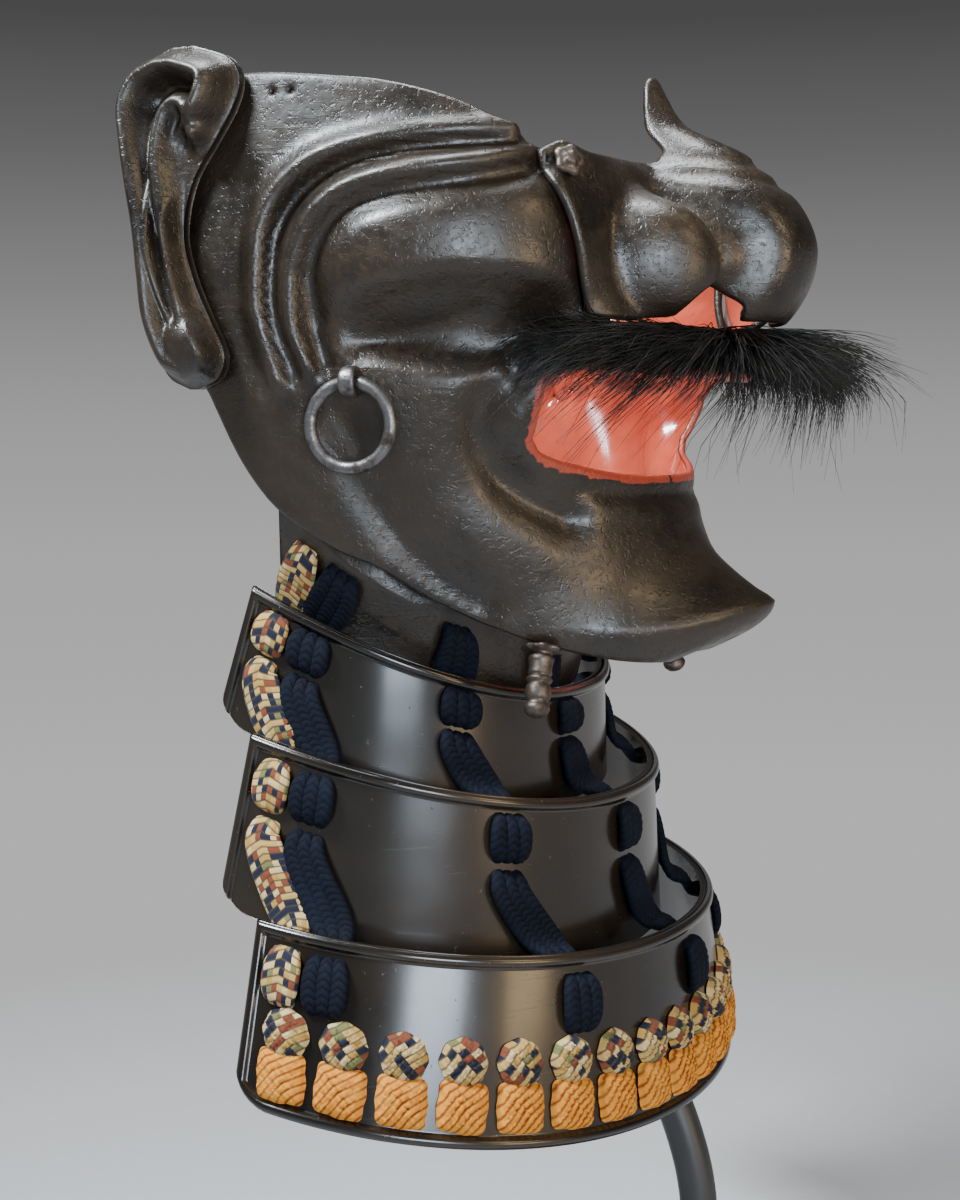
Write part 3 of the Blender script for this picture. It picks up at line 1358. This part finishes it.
@dataclass
class Moustache:
    """Horsehair set in the upper lip, combed out to both sides in ragged tufts."""

    hairs: int = 5400
    clumps: int = 150
    steps: int = 6
    root_radius: float = 0.14
    root_half: float = 35.0
    lip_height: float = 0.568
    lip_band: float = 0.038
    seed: int = 7
    locks: Table = field(default_factory=lambda: Table(
        "root sweep lift fall",
        (-38, -6, 2.5, -0.02), (-30, -9, 3.0, -0.03), (-22, -13, 4.0, -0.05), (-14, -17, 6.0, -0.07),
        (-5, -14, 12.0, -0.08), (4, 6, 22.0, -0.1), (12, 12, 27.0, -0.1), (20, 14, 26.0, -0.1),
        (28, 12, 21.0, -0.09), (38, 8, 15.0, -0.08),
    ))

    def build(self, maker: Maker, hair: bpy.types.Material) -> None:
        """Builds the hair, each one a thin three-sided taper."""
        rng = np.random.default_rng(self.seed)
        count = self.hairs
        clump = rng.integers(0, self.clumps, count)
        clump_root = rng.uniform(-self.root_half, self.root_half, self.clumps)
        clump_up = rng.uniform(0, 1, self.clumps)
        clump_bend = rng.normal(0, 1, (self.clumps, 3))
        root = clump_root[clump] + rng.normal(0, 1.6, count)
        up = np.clip(clump_up[clump] + rng.normal(0, 0.2, count), 0, 1)
        length = np.clip(rng.normal(0.82, 0.2, count), 0.3, 1.35)
        stray = rng.random(count) < 0.07
        length = np.where(stray, length * 1.15, length)
        wildness = np.where(stray, 2.6, 1.0)[:, None]
        jitter = clump_bend[clump] * 0.8 + rng.normal(0, 0.55, (count, 3)) * wildness
        jitter = np.clip(jitter, -2.6, 2.6)
        t = np.linspace(0, 1, self.steps)[None, :] * length[:, None]
        sweep = self.locks.at("sweep", root)[:, None] + 3.6 * jitter[:, :1]
        lift = self.locks.at("lift", root)[:, None] * (1 + 0.12 * jitter[:, 1:2])
        lift = lift + 1.6 * np.abs(jitter[:, 1:2])
        fall = self.locks.at("fall", root)[:, None] + 0.03 * jitter[:, 2:]
        angle = np.radians(root[:, None] + sweep * t)
        height = self.lip_height + self.lip_band * up[:, None] + fall * t**2 + 0.02 * jitter[:, 1:2] * t
        height = height + 0.007 * np.sin(5.5 * t + 3 * jitter[:, 2:]) * t
        reach = face_hammered(angle, height) + 1.2 + 3.4 * (1 - up[:, None]) * np.exp(-3 * t) + lift * t
        line = mask_point(angle, reach, height)
        ahead = unit(np.gradient(line, axis=1))
        side = unit(np.cross(ahead, [0.0, 0.0, 1.0]))
        face = np.cross(side, ahead)
        thin = self.root_radius * (1 - 0.8 * np.linspace(0, 1, self.steps) ** 2)
        turn = np.linspace(0, 2 * math.pi, 3, endpoint=False)
        ring = side[:, :, None] * np.cos(turn)[:, None] + face[:, :, None] * np.sin(turn)[:, None]
        points = line[:, :, None] + ring * thin[None, :, None, None]
        one = grid_faces(self.steps, 3, False, True)
        faces = one[None] + (np.arange(count) * self.steps * 3)[:, None, None]
        surface = Surface(points.reshape(-1, 3), [faces.reshape(-1, 4)])
        maker.add(surface, "Moustache", [hair], "mask", ["moustache"], "horsehair")


# the throat guard


COLLAR_HALF = 90.0
COLLAR_REACH = 93.0
COLLAR_DROP = 126.0
PLATE_WALL = 1.8
KNOT_PITCH = 12.6
KNOT_MARGIN = 8.8


@dataclass
class PlateForm:
    """The form of one plate of the throat guard, from its upper to its lower edge."""

    half: tuple[float, float]
    front: tuple[float, float]
    rear: tuple[float, float]
    front_height: tuple[float, float]
    rear_height: tuple[float, float]
    power: tuple[float, float]
    stitch: float | None = None
    back: float | None = None
    span: float | None = None
    side: float = 0.4
    middle: float = 0.0

    def __post_init__(self) -> None:
        """Measures the way round the plate from its front to its rear edge."""
        self.turns = np.linspace(0, math.pi / 2, 241)
        line = self.at_turn(self.turns, 0.5)
        steps = np.linalg.norm(np.diff(line, axis=0), axis=1)
        self.run = np.concatenate([[0], np.cumsum(steps)])
        self.half_length = float(self.run[-1])

    def at_turn(self, turn: Points, down: Points | float) -> Points:
        """A point of the outer face: turn is -90 to 90 degrees, down 0 to 1."""
        def value(pair: tuple[float, float]) -> Points:
            """The upper and lower edge's values, mixed for this share of the way down."""
            return pair[0] + (pair[1] - pair[0]) * down

        power = 2 / value(self.power)
        ahead = np.abs(np.cos(turn)) ** power
        x = value(self.half) * COLLAR_HALF * np.sign(turn) * np.abs(np.sin(turn)) ** power
        rear, front = value(self.rear) * COLLAR_REACH, value(self.front) * COLLAR_REACH
        low, high = value(self.rear_height) * -COLLAR_DROP, value(self.front_height) * -COLLAR_DROP
        y = AXIS_BACK - (rear + (front - rear) * ahead)
        z = LIFT + low + (high - low) * ahead
        return np.stack(np.broadcast_arrays(x, y, z), -1)

    def spot(self, along: Points | float, down: Points | float) -> Points:
        """A point from its share of the way round, -1 to 1, and down."""
        along = np.asarray(along, dtype=float)
        wanted = np.clip(np.abs(along), 0, 1) * self.half_length
        return self.at_turn(np.sign(along) * np.interp(wanted, self.run, self.turns), down)

    def seat(self, along: Points | float, down: Points | float) -> tuple[Points, Points, Points, Points]:
        """Point, sideways, downward and outward directions at a spot."""
        along = np.asarray(along, dtype=float)
        before, after = np.maximum(along - 0.01, -1), np.minimum(along + 0.01, 1)
        side = unit(self.spot(after, down) - self.spot(before, down))
        fall = unit(self.spot(along, 1.0) - self.spot(along, 0.0))
        return self.spot(along, down), side, fall, unit(np.cross(fall, side))

    def fall(self, along: Points | float) -> Points:
        """The plate's height at a way round."""
        return np.linalg.norm(self.spot(along, 1.0) - self.spot(along, 0.0), axis=-1)


FORMS = {
    "neck": PlateForm(half=(0.725, 0.57), front=(0.548, 0.53), rear=(0.135, 0.05),
                      front_height=(-0.14, 0.06), rear_height=(-0.355, -0.15), power=(2.8, 2.4),
                      span=0.42, side=0.47, middle=-0.09),
    "lame_1": PlateForm(half=(0.65, 0.69), front=(0.606, 0.615), rear=(0.02, -0.06),
                        front_height=(0.04, 0.252), rear_height=(-0.165, 0.07), power=(2.3, 2.3),
                        stitch=0.13, back=0.37, span=0.46, side=0.455, middle=-0.09),
    "lame_2": PlateForm(half=(0.74, 0.79), front=(0.75, 0.77), rear=(0.065, 0.0),
                        front_height=(0.225, 0.52), rear_height=(0.085, 0.385), power=(2.2, 2.2),
                        stitch=0.12, back=0.36, span=0.44, side=0.43, middle=-0.055),
    "lame_3": PlateForm(half=(0.86, 0.97), front=(0.9, 0.95), rear=(0.15, 0.145),
                        front_height=(0.47, 0.79), rear_height=(0.385, 0.675), power=(2.1, 2.1),
                        stitch=0.13, back=0.4, side=0.385),
}


@dataclass
class Lame:
    """A lacquered plate with a half-round rolled rim at its upper and rear edges."""

    name: str
    foot_rim: bool = False
    rim: float = 2.6
    rise: float = 1.25
    corner: float = 8.0
    rim_steps: tuple = (0, 0.12, 0.3, 0.5, 0.7, 0.88, 1.0)

    def build(self, maker: Maker, lacquer: bpy.types.Material) -> None:
        """Builds the plate."""
        form = FORMS[self.name]
        edge = self.rim * np.array([*self.rim_steps, 1.15, 1.6]) / form.half_length
        middle = np.linspace(-1 + edge[-1], 1 - edge[-1], 150)
        alongs = np.concatenate([-1 + edge[:-1], middle, (1 - edge[:-1])[::-1]])
        fall = form.fall(alongs)[:, None]
        corner = self.corner / form.half_length
        into = np.clip((np.abs(alongs) - 1 + corner) / corner, 0, 1)
        foot = fall - self.corner * (1 - np.sqrt(1 - into**2 * 0.999))[:, None]
        near = self.rim * np.array([*self.rim_steps, 1.2])[None, :]
        body = np.linspace(0, 1, 18)[None, :]
        far = near[:, ::-1] if self.foot_rim else np.zeros((1, 1))
        between = near[0, -1] + 0.4 + (foot - near[0, -1] - 0.8 - far.max()) * body
        rows = np.concatenate([near + 0 * foot, between, foot - far], 1)
        along = alongs[:, None] + 0 * rows
        deep = np.minimum(rows, (1 - np.abs(along)) * form.half_length)
        if self.foot_rim:
            deep = np.minimum(deep, foot - rows)
        lift = self.rise * np.sqrt(np.clip(1 - ((deep - self.rim / 2) / (self.rim / 2)) ** 2, 0, 1))
        point, _, _, out = form.seat(along, rows / fall)
        outer = point + out * lift[..., None]
        inner = point - out * PLATE_WALL
        middle_edge = point - out * (PLATE_WALL / 2)
        plate = slab(outer, inner, middle_edge)
        maker.add(plate, f"Lame.{self.name[-1]}", [lacquer], "mask", [self.name], "black_lacquer")


@dataclass
class NeckPlate:
    """The russet plate inside the jaw, with a turned hem along its foot."""

    def build(self, maker: Maker, iron: bpy.types.Material) -> None:
        """Builds the plate."""
        form = FORMS["neck"]
        along, down = np.meshgrid(np.linspace(-1, 1, 121), np.linspace(0, 1, 40), indexing="ij")
        flat = form.spot(along, down)
        x, ahead = flat[..., 0], AXIS_BACK - flat[..., 1]
        angle = np.arctan2(x, ahead)
        low = FACE_EDGES.at("low", np.degrees(np.abs(angle)))
        height = (flat[..., 2] - LIFT) / FACE_HEIGHT
        level = np.maximum(height, low)
        reach = np.minimum(np.hypot(x, ahead), face_hammered(angle, level) - 3.0 * WALL)
        outer = mask_point(angle, reach, height)
        inner = mask_point(angle, reach - PLATE_WALL, height)
        plate = slab(outer, inner, (outer + inner) / 2)
        maker.add(plate, "NeckPlate", [iron], "mask", ["neck_plate"], "russet_iron")


@dataclass
class Lace:
    """One column of lacing: flat stitches on each plate and spans between the plates."""

    name: str
    width: float
    thickness: float
    cords: int
    along: dict[str, float]
    slot: str
    leave: float = 0.86
    step: float = 0.48
    around: int = 14

    def path(self) -> tuple[Points, Points, Points]:
        """The lace's line, its sideways direction and its share of full width along the line."""
        spots: list[tuple[Points, Points, float]] = []
        half = self.thickness / 2
        inner = -PLATE_WALL - half - 1.4

        def put(name: str, down: float, out: float, wide: float) -> None:
            """Adds a spot this far down a plate and out of its face, with the lace's width there."""
            point, side, _, face = FORMS[name].seat(self.along[name], down)
            spots.append((point + face * out, side, wide))

        names = list(FORMS)
        for k, name in enumerate(names):
            form = FORMS[name]
            if form.stitch is None:
                put(name, form.span - 0.1, inner, 0.7)
            else:
                put(name, 0.03, inner, 0.8)
                put(name, form.stitch - 0.01, inner, 0.7)
                put(name, form.stitch, half * 0.6, 0.82)
                for share, out in ((0.22, 1.5), (0.5, 1.9), (0.78, 1.5)):
                    down = form.stitch + (form.back - form.stitch) * share
                    put(name, down, half * 0.7 + out * 0.55, 1.0 + 0.06 * out)
                put(name, form.back, half * 0.6, 0.82)
                put(name, form.back + 0.01, inner, 0.7)
            if form.span is None:
                put(name, form.back + 0.1, inner, 0.7)
                continue
            put(name, form.span, inner, 0.7)
            put(name, form.span + 0.01, half * 0.7, 0.82)
            put(name, form.span + 0.12, half + 0.9, 1.12)
            start = form.seat(self.along[name], form.span)[0]
            target = FORMS[names[k + 1]].seat(self.along[names[k + 1]], 0.03)[0]
            level = form.spot(self.along[name], self.leave)
            share = (start[2] - level[2]) / (start[2] - target[2])
            wanted = start + (target - start) * share
            ways = np.linspace(-1, 1, 801)
            nearest = ways[np.argmin(np.linalg.norm(form.spot(ways, self.leave) - wanted, axis=-1))]
            point, side, _, face = form.seat(nearest, self.leave)
            spots.append((point + face * (half + 0.9), side, 1.3))
        line = np.array([spot[0] for spot in spots])
        extra = np.array([[*spot[1], spot[2]] for spot in spots])
        packed = np.concatenate([line, extra * 0.001], 1)
        dense = self.rounded(packed)
        length = np.linalg.norm(np.diff(dense[:, :3], axis=0), axis=1).sum()
        dense = evenly(dense, int(length / self.step))
        return dense[:, :3], unit(dense[:, 3:6]), dense[:, 6] * 1000

    @staticmethod
    def rounded(line: Points) -> Points:
        """The line with its corners cut round."""
        for _ in range(3):
            first, last = line[:1], line[-1:]
            cut = np.stack([0.75 * line[:-1] + 0.25 * line[1:], 0.25 * line[:-1] + 0.75 * line[1:]], 1)
            line = np.concatenate([first, cut.reshape(-1, line.shape[1]), last])
        return line

    def build(self, maker: Maker, silk: bpy.types.Material) -> None:
        """Builds the cords of the lace side by side, with their knitted stitches."""
        line, side, wide = self.path()
        length = np.linalg.norm(np.diff(line, axis=0), axis=1).sum()
        stitches = length / CordWeave.PITCH
        cord_half = self.width / self.cords / 2 * (1.22 if self.cords > 1 else 1.06)
        parts = []
        for k in range(self.cords):
            offset = (k - (self.cords - 1) / 2) * self.width / self.cords
            path = line + side * (offset * wide)[:, None]

            def section(share: Points, turn: Points) -> tuple[Points, Points]:
                """One cord's flattened section, with its stitches in relief."""
                across = np.cos(turn) + 0 * share
                knit = CordWeave.relief(share * stitches + 0.37 * k, across)
                flat = self.thickness / 2 * (0.8 + 0.34 * knit)
                rise = np.sign(np.sin(turn)) * np.abs(np.sin(turn)) ** 0.75
                return cord_half * wide[:, None] * across, flat * rise

            cord = ribbon(path, side, section, self.around)
            place = np.linspace(0, 1, len(path)) * stitches + 0.37 * k
            turns = np.linspace(0, 2 * math.pi, self.around, endpoint=False)
            u = np.repeat(place, self.around) / CordWeave.UV_STITCHES
            v = np.tile((np.cos(turns) + 1) / 2, len(path))
            tip = [[0.0, 0.5], [stitches / CordWeave.UV_STITCHES, 0.5]]
            cord.cord = np.concatenate([np.stack([u, v], -1), tip])
            parts.append(cord)
        title = "".join(word.title() for word in self.name.split("_")[:-1] or [self.name])
        label = f"{title}.{self.name.split('_')[-1]}"
        maker.add(Surface.together(parts), label, [silk], "mask", [self.name], self.slot)


@dataclass
class KnotRow:
    """A row of round or square plaited knots along the lowest plate."""

    name: str
    down: float
    width: float
    height: float
    rise: float
    square: float
    strands: int = 5
    turned: float = 0.12
    points: int = 30

    def knot(self, form: PlateForm, along: float, seed: int) -> Surface:
        """One knot: a dome with plaited strands in relief."""
        rng = np.random.default_rng(seed)
        line = np.linspace(-1, 1, self.points)
        u, v = np.meshgrid(line, line, indexing="ij")
        power = 2 + 6 * self.square
        radius = np.maximum(np.abs(u), np.abs(v))
        norm = (np.abs(u) ** power + np.abs(v) ** power) ** (1 / power)
        scale = np.divide(radius, norm, out=np.ones_like(norm), where=norm > 1e-9)
        a, b = u * scale, v * scale
        slant = rng.uniform(-self.turned, self.turned)
        a, b = a + slant * b, b - slant * a
        first = self.strands * (a + b) / 2
        second = self.strands * (a - b) / 2
        over = np.sin(math.pi * first) * np.sin(math.pi * second) > 0
        weave = np.where(over, np.abs(np.sin(math.pi * first)), np.abs(np.sin(math.pi * second)))
        fine = np.abs(np.sin(math.pi * (first + second) * 1.5))
        dome = np.sqrt(np.clip(1 - radius**3, 0, 1))
        bulge = 1 + 0.025 * np.cos(8 * np.arctan2(b, a)) * radius
        lift = 0.35 + self.rise * dome * (0.6 + 0.34 * np.sqrt(weave) + 0.08 * fine)
        point, side, down, out = form.seat(along, self.down)
        flat = side * (a * bulge * self.width / 2)[..., None]
        flat = flat + down * (b * bulge * self.height / 2)[..., None]
        curved = (a * self.width / 2) ** 2 / 150
        outer = point + flat + out * (lift - curved)[..., None]
        inner = point + flat * 0.9 + out * (0.2 - curved)[..., None]
        made = slab(outer, inner)
        marks = [(first + 7 * seed) / CordWeave.UV_STITCHES, (second / self.strands + 1) / 2]
        marks = np.stack(marks, -1).reshape(-1, 2)
        made.cord = np.concatenate([marks, marks])
        return made

    def build(self, maker: Maker, silk: bpy.types.Material, slot: str) -> None:
        """Builds the row."""
        form = FORMS["lame_3"]
        count = int((form.half_length - KNOT_MARGIN) // KNOT_PITCH)
        places = range(-count, count + 1)
        knots = [self.knot(form, k * KNOT_PITCH / form.half_length, k + 40) for k in places]
        title = self.name.title().replace("_", "")
        maker.add(Surface.together(knots), title, [silk], "mask", [self.name], slot)


@dataclass
class ThroatGuard:
    """The neck plate, the three lames, their lacing and the knots."""

    lace_width: float = 8.6
    braid_width: float = 7.4
    end_inset: float = 8.0

    def columns(self) -> list[Lace]:
        """All columns of lacing."""
        middles = {name: form.middle for name, form in FORMS.items()}
        found = [Lace("front_lace", self.lace_width, 2.3, 3, middles, "navy_lace")]
        next_inset = self.end_inset + (self.braid_width + self.lace_width) / 2 + 1.8
        for side in Side:
            edge = {n: side.sign * (1 - self.end_inset / f.half_length) for n, f in FORMS.items()}
            end = {n: side.sign * (1 - next_inset / f.half_length) for n, f in FORMS.items()}
            flank = {n: side.sign * f.side for n, f in FORMS.items()}
            found.append(Lace(f"edge_braid_{side.word}", self.braid_width, 2.5, 1, edge, "bright_braid"))
            found.append(Lace(f"end_lace_{side.word}", self.lace_width, 2.3, 3, end, "navy_lace"))
            found.append(Lace(f"side_lace_{side.word}", self.lace_width, 2.3, 3, flank, "navy_lace"))
        return found

    def build(self, maker: Maker, finishes: "Finishes") -> None:
        """Builds the guard."""
        NeckPlate().build(maker, finishes.iron)
        for name in ("lame_1", "lame_2", "lame_3"):
            Lame(name, foot_rim=name == "lame_3").build(maker, finishes.lacquer)
        for lace in self.columns():
            lace.build(maker, finishes.navy if lace.slot == "navy_lace" else finishes.braid)
        bright = KnotRow("bright_knots", down=0.555, width=10.4, height=10.2, rise=3.2, square=0.0)
        bright.build(maker, finishes.braid, "bright_braid")
        orange = KnotRow("orange_knots", down=0.785, width=11.0, height=10.8, rise=3.0, square=0.45)
        orange.build(maker, finishes.orange, "orange_lace")


@dataclass
class Stand:
    """The plain stand: round base, bent rod and the bar under the jaw."""

    base_radius: float = 75.0
    base_height: float = 7.0
    rod_radius: float = 4.4
    foot_forward: float = 32.5
    saddle_lift: float = 207.0
    bends: tuple = (
        (1, 0), (1, 0.2), (0.97, 0.264), (0.88, 0.319), (0.74, 0.375), (0.6, 0.425), (0.4, 0.485),
        (0.18, 0.555), (-0.06, 0.635), (-0.27, 0.736), (-0.44, 0.846), (-0.52, 0.96), (-0.52, 1),
    )

    def build(self, maker: Maker, paint: bpy.types.Material) -> None:
        """Builds the stand's three pieces."""
        r, h = self.base_radius, self.base_height
        turns = np.linspace(math.pi / 2, 0, 7)
        rim = [(r - 1.2 + 1.2 * math.sin(a), h - 1.2 + 1.2 * math.cos(a)) for a in turns]
        base = lathe([(0.01, 0), (r - 0.5, 0), (r, 0.5), *rim, (r - 8, h), (r - 30, h), (0.01, h)], 128)
        maker.add(base, "StandBase", [paint], "mask", ["stand_base"], "stand_paint")
        foot, top = h + 0.3, self.saddle_lift - 0.3
        line = curve([(0, -f * self.foot_forward, foot + (top - foot) * z) for f, z in self.bends], 120)
        rod = ribbon(line, np.tile([1.0, 0.0, 0.0], (120, 1)), self.round, 28)
        maker.add(rod, "StandRod", [paint], "mask", ["stand_rod"], "stand_paint")
        bar = rounded_box((50, 6, 3), 1.2)
        bar.points += [0, 0.52 * self.foot_forward, self.saddle_lift + 3]
        maker.add(bar, "StandSaddle", [paint], "mask", ["stand_saddle"], "stand_paint")

    def round(self, share: Points, turn: Points) -> tuple[Points, Points]:
        """The rod's round section."""
        return self.rod_radius * np.cos(turn) + 0 * share, self.rod_radius * np.sin(turn) + 0 * share


# finishes, studio and camera


class Finishes:
    """Every finish, made once."""

    def __init__(self) -> None:
        """Makes the materials."""
        self.iron = RussetIron().make()
        self.red = VermilionLacquer().make()
        self.lacquer = BlackLacquer().make()
        self.steel = WornSteel("steel").make()
        self.peg = WornSteel("peg_iron", (0.12, 0.095, 0.08), (0.045, 0.03, 0.022), 0.4).make()
        self.hair = Horsehair().make()
        navy = KnittedCord("navy_lace", light=(0.0026, 0.0045, 0.0115), dark=(0.0005, 0.0007, 0.0018),
                           odd=(0.005, 0.008, 0.018))
        orange = KnittedCord("orange_lace", light=(0.62, 0.24, 0.028), dark=(0.17, 0.038, 0.006),
                             odd=(0.64, 0.31, 0.055))
        self.navy = navy.make()
        self.braid = SpeckledBraid().make()
        self.orange = orange.make()
        self.paint = StandPaint().make()


@dataclass(frozen=True)
class SoftLight:
    """A square light; its place is in metres ahead, right and up of the aim, as the camera looks."""

    name: str
    place: tuple[float, float, float]
    size: float
    power: float
    colour: Colour


@dataclass
class Studio:
    """A pale floor, a soft backdrop and five soft lights round the camera's place."""

    aim: Vector = field(default_factory=lambda: Vector((0.0, 0.025, 0.196)))
    azimuth: float = -65.0
    elevation: float = 5.0
    distance: float = 0.45
    lens: float = 55.35
    lights: tuple = (
        SoftLight("key", (-0.5, -0.6, 0.95), 0.34, 47.0, (0.84, 0.93, 1.0)),
        SoftLight("cool", (-0.8, 0.24, 0.02), 0.28, 5.6, (0.74, 0.87, 1.0)),
        SoftLight("warm", (-0.6, 0.74, -0.02), 0.26, 2.2, (1.0, 0.72, 0.4)),
        SoftLight("fill", (-0.6, 0.9, 0.6), 0.3, 2.4, (1.0, 0.76, 0.46)),
        SoftLight("top", (0.1, 0.0, 0.95), 0.4, 10.0, (0.92, 0.96, 1.0)),
    )
    sky_half: float = 0.35
    sky_greys: tuple = (
        (-18.9, 0.56), (-11.4, 0.56), (-7.4, 0.5), (-3.4, 0.46), (0.6, 0.37), (4.6, 0.235),
        (8.6, 0.135), (12.5, 0.072),
    )

    def directions(self) -> tuple[Vector, Vector, Vector]:
        """Forward, rightward and upward as the camera sees them."""
        a, e = math.radians(self.azimuth), math.radians(self.elevation)
        back = Vector((math.sin(a) * math.cos(e), -math.cos(a) * math.cos(e), math.sin(e)))
        ahead = -back
        right = ahead.cross(Vector((0, 0, 1))).normalized()
        return ahead, right, right.cross(ahead)

    def build(self) -> None:
        """Sets the floor, the sky, the lights and the camera."""
        ahead, right, up = self.directions()
        self.floor()
        self.sky()
        for light in self.lights:
            on, across, high = light.place
            self.hang(light, self.aim + on * ahead + across * right + high * up)
        camera = bpy.data.cameras.new("camera")
        camera.lens = self.lens
        camera.sensor_width = 36.0
        camera.clip_start = 0.01
        holder = bpy.data.objects.new("camera", camera)
        holder.location = self.aim - self.distance * ahead
        holder.rotation_euler = ahead.to_track_quat("-Z", "Y").to_euler()
        bpy.context.scene.collection.objects.link(holder)
        bpy.context.scene.camera = holder

    def hang(self, light: SoftLight, place: Vector) -> None:
        """Adds a light that faces the mask."""
        lamp = bpy.data.lights.new(light.name, "AREA")
        lamp.size = light.size
        lamp.energy = light.power
        lamp.color = light.colour
        holder = bpy.data.objects.new(light.name, lamp)
        holder.location = place
        holder.rotation_euler = (self.aim - place).to_track_quat("-Z", "Y").to_euler()
        bpy.context.scene.collection.objects.link(holder)

    def floor(self) -> None:
        """Lays the round pale floor, which fades into the backdrop."""
        s = Shader("floor")
        far = s.node("ShaderNodeVectorMath", {"operation": "LENGTH"}, {0: s.place}).outputs["Value"]
        fade = s.between(Sock(s, far), 0.12, 0.42, 1.0, 0.0)
        grain = s.noise(300.0)
        base = s.mix(grain, (0.33, 0.33, 0.335), (0.37, 0.37, 0.375))
        relief = s.bump(grain, 0.0002, 0.3)
        s.finish(base_color=base, roughness=0.75 + 0.1 * grain, normal=relief, alpha=fade)
        disc = lathe([(0.01, 0), (200, 0), (440, 0)], 96)
        disc.points[:, 2] -= 0.05
        disc.piece("Floor", [s.material])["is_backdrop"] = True

    def sky(self) -> None:
        """Fills the sky with a soft grey that darkens upwards."""
        world = bpy.data.worlds.new("backdrop")
        world.use_nodes = True
        tree = world.node_tree
        background = tree.nodes["Background"]
        direction = tree.nodes.new("ShaderNodeTexCoord")
        parts = tree.nodes.new("ShaderNodeSeparateXYZ")
        ramp = tree.nodes.new("ShaderNodeValToRGB")
        spread = tree.nodes.new("ShaderNodeMapRange")
        spread.inputs["From Min"].default_value = -self.sky_half
        spread.inputs["From Max"].default_value = self.sky_half
        tree.links.new(direction.outputs["Generated"], parts.inputs[0])
        tree.links.new(parts.outputs[2], spread.inputs[0])
        tree.links.new(spread.outputs[0], ramp.inputs[0])
        tree.links.new(ramp.outputs[0], background.inputs[0])
        stops = []
        for elevation, grey in self.sky_greys:
            place = (math.sin(math.radians(elevation)) / self.sky_half + 1) / 2
            stops.append((place, (grey, grey, grey * 1.01)))
        Shader.fill_ramp(ramp.color_ramp, stops)
        bpy.context.scene.world = world


def write_size(before: object, after: object) -> None:
    """Writes the model's bounds from before and after the work as plain lists."""
    def plain(value: object) -> object:
        """A value with every sequence in it as a plain list."""
        if isinstance(value, dict):
            return {key: plain(item) for key, item in value.items()}
        if isinstance(value, (int, float, str)) or value is None:
            return value
        return [plain(item) for item in value]

    {"before": plain(before), "after": plain(after)}


def main() -> None:
    """Builds every piece in order."""
    logging.basicConfig(level=logging.INFO, format="%(message)s")
    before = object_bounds()
    finishes = Finishes()
    maker = Maker()
    FacePlate().build(maker, finishes.iron, finishes.red)
    NosePlate().build(maker, finishes.iron, finishes.red)
    for side in Side:
        Ear(side).build(maker, finishes.iron)
        NosePin(side).build(maker, finishes.peg)
        CheekRing(side).build(maker, finishes.steel)
        ChinPeg(side).build(maker, finishes.peg)
    Moustache().build(maker, finishes.hair)
    ThroatGuard().build(maker, finishes)
    Stand().build(maker, finishes.paint)
    Studio().build()
    write_size(before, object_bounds())
    LOG.info("%d pieces", len(maker.made))


if __name__ == "__main__":
    main()
